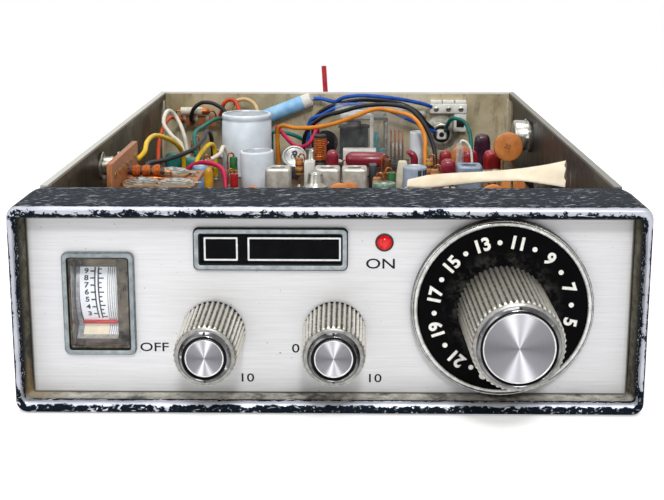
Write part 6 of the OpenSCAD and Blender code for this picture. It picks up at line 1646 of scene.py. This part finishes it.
# hook-up wires, each fixed at both ends, with tinned and soldered tips
wireSpec = {
    "thick": 1.7,
    "runs": [
        ("yellow", [(-67.3, -5, 45.5), (-65.4, 0, 47.5), (-66, 10, 49.5), (-65, 24, 49.5), (-61, 38, 45), (-59, 48, 39),
        (-59, 52, 30), (-59, 53, 26)]),
        ("black", [(-67.3, -4.4, 41), (-65.2, 0, 41.5), (-65.5, 8, 42), (-61, 22, 41), (-54, 36, 42), (-51, 50, 44),
        (-51, 60, 45.5), (-50, 68, 42), (-49.5, 72, 26)]),
        ("white", [(-60, 62, 26), (-61, 62, 39), (-66, 67, 43), (-70, 74, 47), (-69, 80, 51), (-66, 83, 48),
        (-62, 78, 40), (-60, 76, 26)]),
        ("vermilion", [(-67, 114.6, 42), (-71, 104, 45), (-72, 90, 44), (-73, 80, 38), (-72, 70, 32), (-72, 68, 26)]),
        ("green", [(-54, 63, 26), (-56, 64, 38), (-57, 72, 43), (-55, 84, 44), (-52, 96, 45), (-50, 108, 44),
        (-50, 114.6, 42)]),
        ("black", [(-63, 114.6, 41.5), (-63.5, 110, 43.5), (-62, 108, 48), (-58, 107.5, 51), (-52, 107, 50),
        (-47, 104, 45), (-44.5, 98, 26)]),
        ("yellow", [(-53, 42, 26), (-53, 43.5, 36), (-51, 50, 40), (-49, 57, 41), (-48, 61, 38), (-48, 63, 26)]),
        ("white", [(-41, 58, 26), (-42, 58, 36), (-44, 56, 40), (-45, 52, 38), (-49, 48, 36), (-54, 49, 34),
        (-56, 50, 26)]),
        ("pink", [(-57, 38, 26), (-56, 38, 34), (-51, 37.5, 37), (-45, 34, 37), (-41, 28, 35), (-40, 24, 26)]),
        ("pink", [(-24, 92, 26), (-25, 92, 42), (-22, 88, 40), (-17, 84, 36), (-12, 80, 37), (-9, 82, 41), (-8, 90, 43),
        (-8, 96, 26)]),
        ("orange", [(-24, 88, 26), (-24, 85, 43), (-16, 80, 44), (-8, 76, 45), (0, 74, 47), (8, 73, 50), (16, 72, 53),
        (24, 71, 52), (31, 68, 50), (35, 63, 44), (35, 57, 37), (35, 52, 26)]),
        ("blue", [(-10.6, 115.7, 51.7), (-6.5, 114.6, 51.8), (-1, 111.5, 51), (3, 109.5, 53), (10, 108.5, 54),
        (18, 109, 53.5), (28, 111, 52), (37, 113, 50), (41.6, 115.2, 48.2)]),
        ("blue", [(-12, 108, 26), (-12, 108, 42), (-6, 106.5, 46), (2, 106, 50), (10, 106, 50.5), (20, 108, 48.5),
        (34, 112, 42), (44, 115.2, 37)]),
        ("black", [(-14, 90, 26), (-13, 88, 40), (-6, 82, 48), (2, 78.5, 51), (10, 76, 53.5), (18, 75, 54.5),
        (26, 73.5, 54), (31, 71.5, 52), (36, 67, 46), (39, 62, 38), (39, 58, 30), (39, 57, 26)]),
        ("vermilion", [(-52, 114.6, 43), (-50.5, 112, 46), (-49, 110, 50.3), (-46.4, 109.5, 52), (-43.8, 109, 51),
        (-42, 106, 47), (-40.5, 102, 38), (-40, 101, 26)]),
        ("beige", [(-47, 114.6, 43), (-46, 112.5, 47.6), (-43.6, 111.6, 51.2), (-39.4, 110.5, 52), (-35.6, 108, 50.2),
        (-33.8, 104, 46), (-33, 100, 36), (-33, 98, 26)]),
        ("black", [(-10, 111.5, 26), (-10, 111.5, 42), (-4, 110.6, 48.5), (8, 111, 51.6), (20.4, 111.6, 51.2),
        (29.1, 111.6, 49.6), (35.2, 111, 46.2), (38.5, 112, 42), (42.4, 115, 38.4)]),
        ("green", [(-28, 103, 26), (-28, 102, 36), (-27.2, 100, 39.3), (-20, 99, 38.7), (-13.8, 100, 35.5),
        (-11, 101, 30), (-10.5, 101, 26)]),
        ("green", [(47.6, 115.2, 37.6), (48, 110, 41), (50, 106, 44.5), (55, 103, 43), (57, 98, 37), (57, 95, 26)]),
    ],
    "tones": {
        "yellow": ("#fbd722", "#e0b010"), "black": ("#1b1d22", "#0e0f12"), "white": ("#efeadd", "#d5cdb8"),
        "vermilion": ("#d9532c", "#b23a18"), "green": ("#11776a", "#0b544b"),
        "pink": ("#d9285a", "#ad1743"), "beige": ("#d8bb8a", "#b59a66"), "orange": ("#e8932a", "#c57114"),
        "blue": ("#2262c4", "#123f92"),
    },
}


def makeWires():
    # extruded vinyl over stranded copper: soft gloss, dusty on top
    covers = {name: finish(name + "Vinyl", tone[0], tone[1], spot=5, rough=(0.35, 0.5), relief=0.006,
        mark=("#8b857a", 0.5, 0.74), shine=0.3) for name, tone in wireSpec["tones"].items()}
    r = wireSpec["thick"] / 2
    for name, route in wireSpec["runs"]:
        path = smoothRoute(route, 7)
        put(tube(path[1:-1], r, 12), covers[name])
        for end, near in ((path[0], path[1]), (path[-1], path[-2])):
            inner = near + (near - end).normalized() * 0.4
            put(tube([end, near, inner], 0.5, 10), tin)
            if end.z < boardTop + 0.2:
                solder(end.x, end.y)
    makePiece("hookupWires", ["hookup_wires"])


makeWires()
print("wires ready")


# aerial socket, jacks, terminal block and grommet in the rear and left walls
fittingSpec = {
    "aerial": (46, 36), "flange": 22, "barrel": 7.9, "cup": 5.8, "pin": 3.4, "bore": 2.0, "long": 12, "sheet": 1.0,
    "rearJacks": [(-52, 24), (-36, 24)], "sideJack": (-76.5, -20, 46.2), "jack": 3.2, "jackFlange": 4.6,
    "jackBore": 1.8,
    "block": (48.8, 48.2, 16.2, 4.0, 5.6), "grommet": (-5, 32), "hole": 4.0, "lip": 1.4, "lead": 1.25,
}


# moulded white nylon, shared by the fittings and the diode's wire
whiteNylon = finish("whiteNylon", "#efeee9", "#d4d2ca", relief=0.012, mark=("#a39d8d", 0.9, 0.68))


# cut thread: ridges along a barrel, as radius and height pairs
def thread(r, low, high, pitch, deep):
    rows, z = [], low
    while z < high - 0.01:
        rows += [(r - deep, z), (r, z + pitch * 0.4), (r, z + pitch * 0.55)]
        z += pitch
    return rows + [(r - deep, high)]


def makeJack(place, inside, metal, dark):
    r, flange, bore, sheet = (fittingSpec[key] for key in ("jack", "jackFlange", "jackBore", "sheet"))
    turned(place, 40, (metal, [(0, -inside), (r - 0.6, -inside), (r - 0.3, -inside + 0.3), (r - 0.3, -inside + 1.6),
        (r, -inside + 1.7), (r, -inside + 2.4), (r - 0.2, -inside + 2.5), (r - 0.1, -1.1)]),
        (metal, [(r - 0.1, -1.0), (flange - 0.2, -1.0), (flange, -0.8), (flange, -0.1), (r, 0)]))
    put(lathe(thread(r, 0, sheet + 1.9, 0.5, 0.2) + [(r - 0.5, sheet + 2.0), (bore + 0.3, sheet + 2.0),
        (bore, sheet + 1.7), (bore, -inside + 1.2), (0, -inside + 1.1)], 40), metal, place)
    hexed = [circle(flange - cut, z, 6)
        for cut, z in ((0.25, sheet), (0, sheet + 0.25), (0, sheet + 1.3), (0.3, sheet + 1.6))]
    put(loft(hexed + [circle(r, sheet + 1.6, 6)]), metal, place)
    put(lathe([(0, -inside - 0.02), (r - 0.8, -inside - 0.02), (r - 0.8, -inside + 0.2)], 32), dark, place)


def makeFittings():
    # nickel plate, clouded, with dirt in the threads
    nickel = finish("fittingNickel", "#c4c1b6", "#918e83", spot=2.2, rough=(0.2, 0.42), mark=("#4e493d", 0.9, 0.66),
        metal=0.85)
    # fibre wafer: brown and dry; painted shade in the gaps, slots and holes: black
    brown = finish("jackWafer", "#4b3322", "#2d1d12", spot=1.2, rough=(0.4, 0.6))
    shade = finish("gapShadePaint", "#1a1918", "#0c0b0b", spot=0.8, rough=(0.5, 0.7), relief=0.005, shine=0.2)
    # moulded rubber: dull black, greyed by dust
    rubber = finish("blackRubber", "#242425", "#131314", spot=1.4, rough=(0.6, 0.8), relief=0.03,
        mark=("#5d5c5a", 0.6, 0.7), shine=0.2)
    sheet = fittingSpec["sheet"]
    place = onRear(*fittingSpec["aerial"])
    # the socket's mouth and its centre hole hold dark rings: painted shade
    turned(place, 48, (nickel, [(5, 0), (5, -2.9), (4.8, -3.4), (4.3, -3.6), (3.7, -3.5), (3.55, -3.2)]),
        (shade, [(3.55, -3.2), (3.4, -2.7), (2.9, -2.7)]))
    put(loft([roundLoop(a, a, 0.8, z, 5) for a, z in ((4.3, -2.7), (4.3, -3.5), (3.9, -3.8), (3.0, -3.85))], False,
        True), whiteNylon, place)
    put(lathe([(1.1, -3.8), (1.1, -4.0), (0.75, -4.0), (0.7, -3.86), (0, -3.86)], 24), shade, place)
    wide, barrel, end = fittingSpec["flange"], fittingSpec["barrel"], sheet + fittingSpec["long"]
    put(block(wide, wide, 1.6, 2.0, 0.25, sheet), nickel, place)
    for sx in (-1, 1):
        for sy in (-1, 1):
            slot = turn(40 * sx + 15 * sy, "Z")
            slottedHead(place @ at(sx * 8.4, sy * 8.4, sheet + 1.55) @ slot, 1.7, 0.8, nickel, shade)
            put(block(3.6, 3.6, 1.0, 0.8, 0.15, -1.0), nickel, place @ at(sx * 8.4, sy * 8.4, 0))
    cup, pin, bore = fittingSpec["cup"], fittingSpec["pin"], fittingSpec["bore"]
    put(lathe([(barrel, sheet + 1.5)] + thread(barrel, sheet + 2.2, end - 0.6, 1.06, 0.4) + [(barrel - 0.6, end),
        (cup + 0.3, end), (cup, end - 0.3), (cup, sheet + 3.0), (pin, sheet + 3.0)], 72), nickel, place)
    put(lathe([(pin, sheet + 3.0), (pin, end - 2.3), (pin - 0.25, end - 2.0), (bore + 0.2, end - 2.0),
        (bore, end - 2.2), (bore, sheet + 4.0), (0, sheet + 4.0)], 48), whiteNylon, place)
    put(lathe([(bore, end - 2.4), (bore - 0.25, end - 2.4), (bore - 0.25, sheet + 4.0)], 32), tin, place)
    makePiece("aerialSocket", ["aerial_socket"])
    side = at(*fittingSpec["sideJack"]) @ turn(-90, "Y")
    makeJack(side, 6.0, nickel, brown)
    put(block(5.6, 2.8, 0.5, 0.8, 0.1, -6.3), tin, side @ at(1.9, 0, 0))
    put(lathe([(0.6, 0), (0.9, 0.06), (0.6, 0.12)], 16), brown, side @ at(3.6, 0, -6.42))
    for x, z in fittingSpec["rearJacks"]:
        spot = onRear(x, z)
        makeJack(spot, 7.0, nickel, brown)
        for k in range(2):
            put(block(1.6, 0.3, 3.4, 0.1, 0.08, -9.4), tin, spot @ turn(90 * k, "Z") @ at(0, 1.4, 0))
    makePiece("metalJacks", ["jacks"])
    x, z, bw, bd, bh = fittingSpec["block"]
    body = at(x, rearIn - bd / 2, z)
    put(block(bw, bd, bh - 1.6, 0.5, 0.25, -bh / 2), whiteNylon, body)
    for k in range(3):
        put(block(bw / 3 - 0.5, bd - 0.5, 2.0, 0.5, 0.3, bh / 2 - 2.0), whiteNylon, body @ at((k - 1) * bw / 3, 0, 0))
        slottedHead(body @ at((k - 1) * bw / 3, -bd / 2 + 0.05, -0.9) @ turn(90, "X"), 1.15, 0.35, nickel, shade)
        # dark discs over the terminals' holes: painted shade
        put(lathe([(0.9, 0.0), (0.8, -0.05), (0, -0.05)], 16), shade, body @ at((k - 1) * bw / 3, 0, bh / 2 + 0.02))
    put(block(5.6, 3.2, 8.4, 0.8, 0.35), whiteNylon, at(x + 5.3, rearIn - 1.8, z - bh / 2 - 8.2))
    # a dark sheet on the lower block's face: painted shade
    put(block(3.4, 0.4, 3.0, 0.3, 0.1), shade, at(x + 5.3, rearIn - 3.3, z - bh / 2 - 6.2))
    makePiece("terminalBlock", ["terminal_block"])
    place = onRear(*fittingSpec["grommet"])
    lip, hole, bore = (fittingSpec[key] for key in ("lip", "hole", "lead"))
    put(lathe([(bore, -lip), (hole + lip - 0.5, -lip), (hole + lip - 0.1, -lip + 0.3), (hole + lip, -lip * 0.5),
        (hole + lip - 0.15, -0.15), (hole, 0), (hole - 0.15, sheet / 2), (hole, sheet),
        (hole + lip - 0.15, sheet + 0.15), (hole + lip, sheet + lip * 0.5), (hole + lip - 0.1, sheet + lip - 0.3),
        (hole + lip - 0.6, sheet + lip), (bore + 0.4, sheet + lip), (bore, sheet + lip - 0.3), (bore, -lip)], 48),
        rubber, place)
    makePiece("powerGrommet", ["power_grommet"])


makeFittings()
print("fittings ready")


# bent corner seams of the case: x, y, low end and high end
seamSpec = [(-75.45, rearIn - 8.05, 45.5, 51.4), (75.2, rearIn - 0.25, 29, 51.4)]


def makeSeams():
    # painted highlight: the bent corners drawn near white, with dark flecks
    seam = finish("seamHighlight", "#f1f0ea", "#cfcdc4", spot=1.5, rough=(0.25, 0.4), relief=0.008,
        mark=("#7b7869", 0.9, 0.67), metal=0.6)
    for x, y, low, high in seamSpec:
        put(tube([(x, y, low), (x, y, (low + high) / 2), (x, y, high)], [0.4, 0.55, 0.5], 10), seam)
    makePiece("cornerSeams")


makeSeams()


# small glass part on its leads, with a white sleeved wire from its top
diodeSpec = {"place": (48.9, 60.5), "apart": 0.5}


def makeDiode():
    # drawn glass: clear with a thin glint
    glass = clearPlastic("diodeGlass", 0.3, 1.5)
    (x, y), z = diodeSpec["place"], boardTop
    put(lathe([(0, 6.0), (1.2, 6.1), (1.6, 6.6), (1.6, 13.6), (1.3, 14.8), (0.6, 15.3), (0, 15.4)], 24), glass,
        onBoard(x, y))
    put(lathe([(0.35, 7.0), (0.45, 12.6), (0, 12.8)], 12), tin, onBoard(x, y))
    for s in (-1, 1):
        leg(x + s * diodeSpec["apart"], y, z + 7.2)
    put(tube(smoothRoute([(x + 0.2, y, z + 15.0), (x + 0.8, y, z + 16.0), (x + 2.6, y - 0.2, z + 15.4),
        (x + 4.2, y - 0.4, z + 12.8), (x + 4.9, y - 0.6, z + 8), (x + 5.0, y - 1.0, z - 0.1)], 5), 0.5, 10), whiteNylon)
    makePiece("glassDiode")


makeDiode()
print("seams and diode ready")
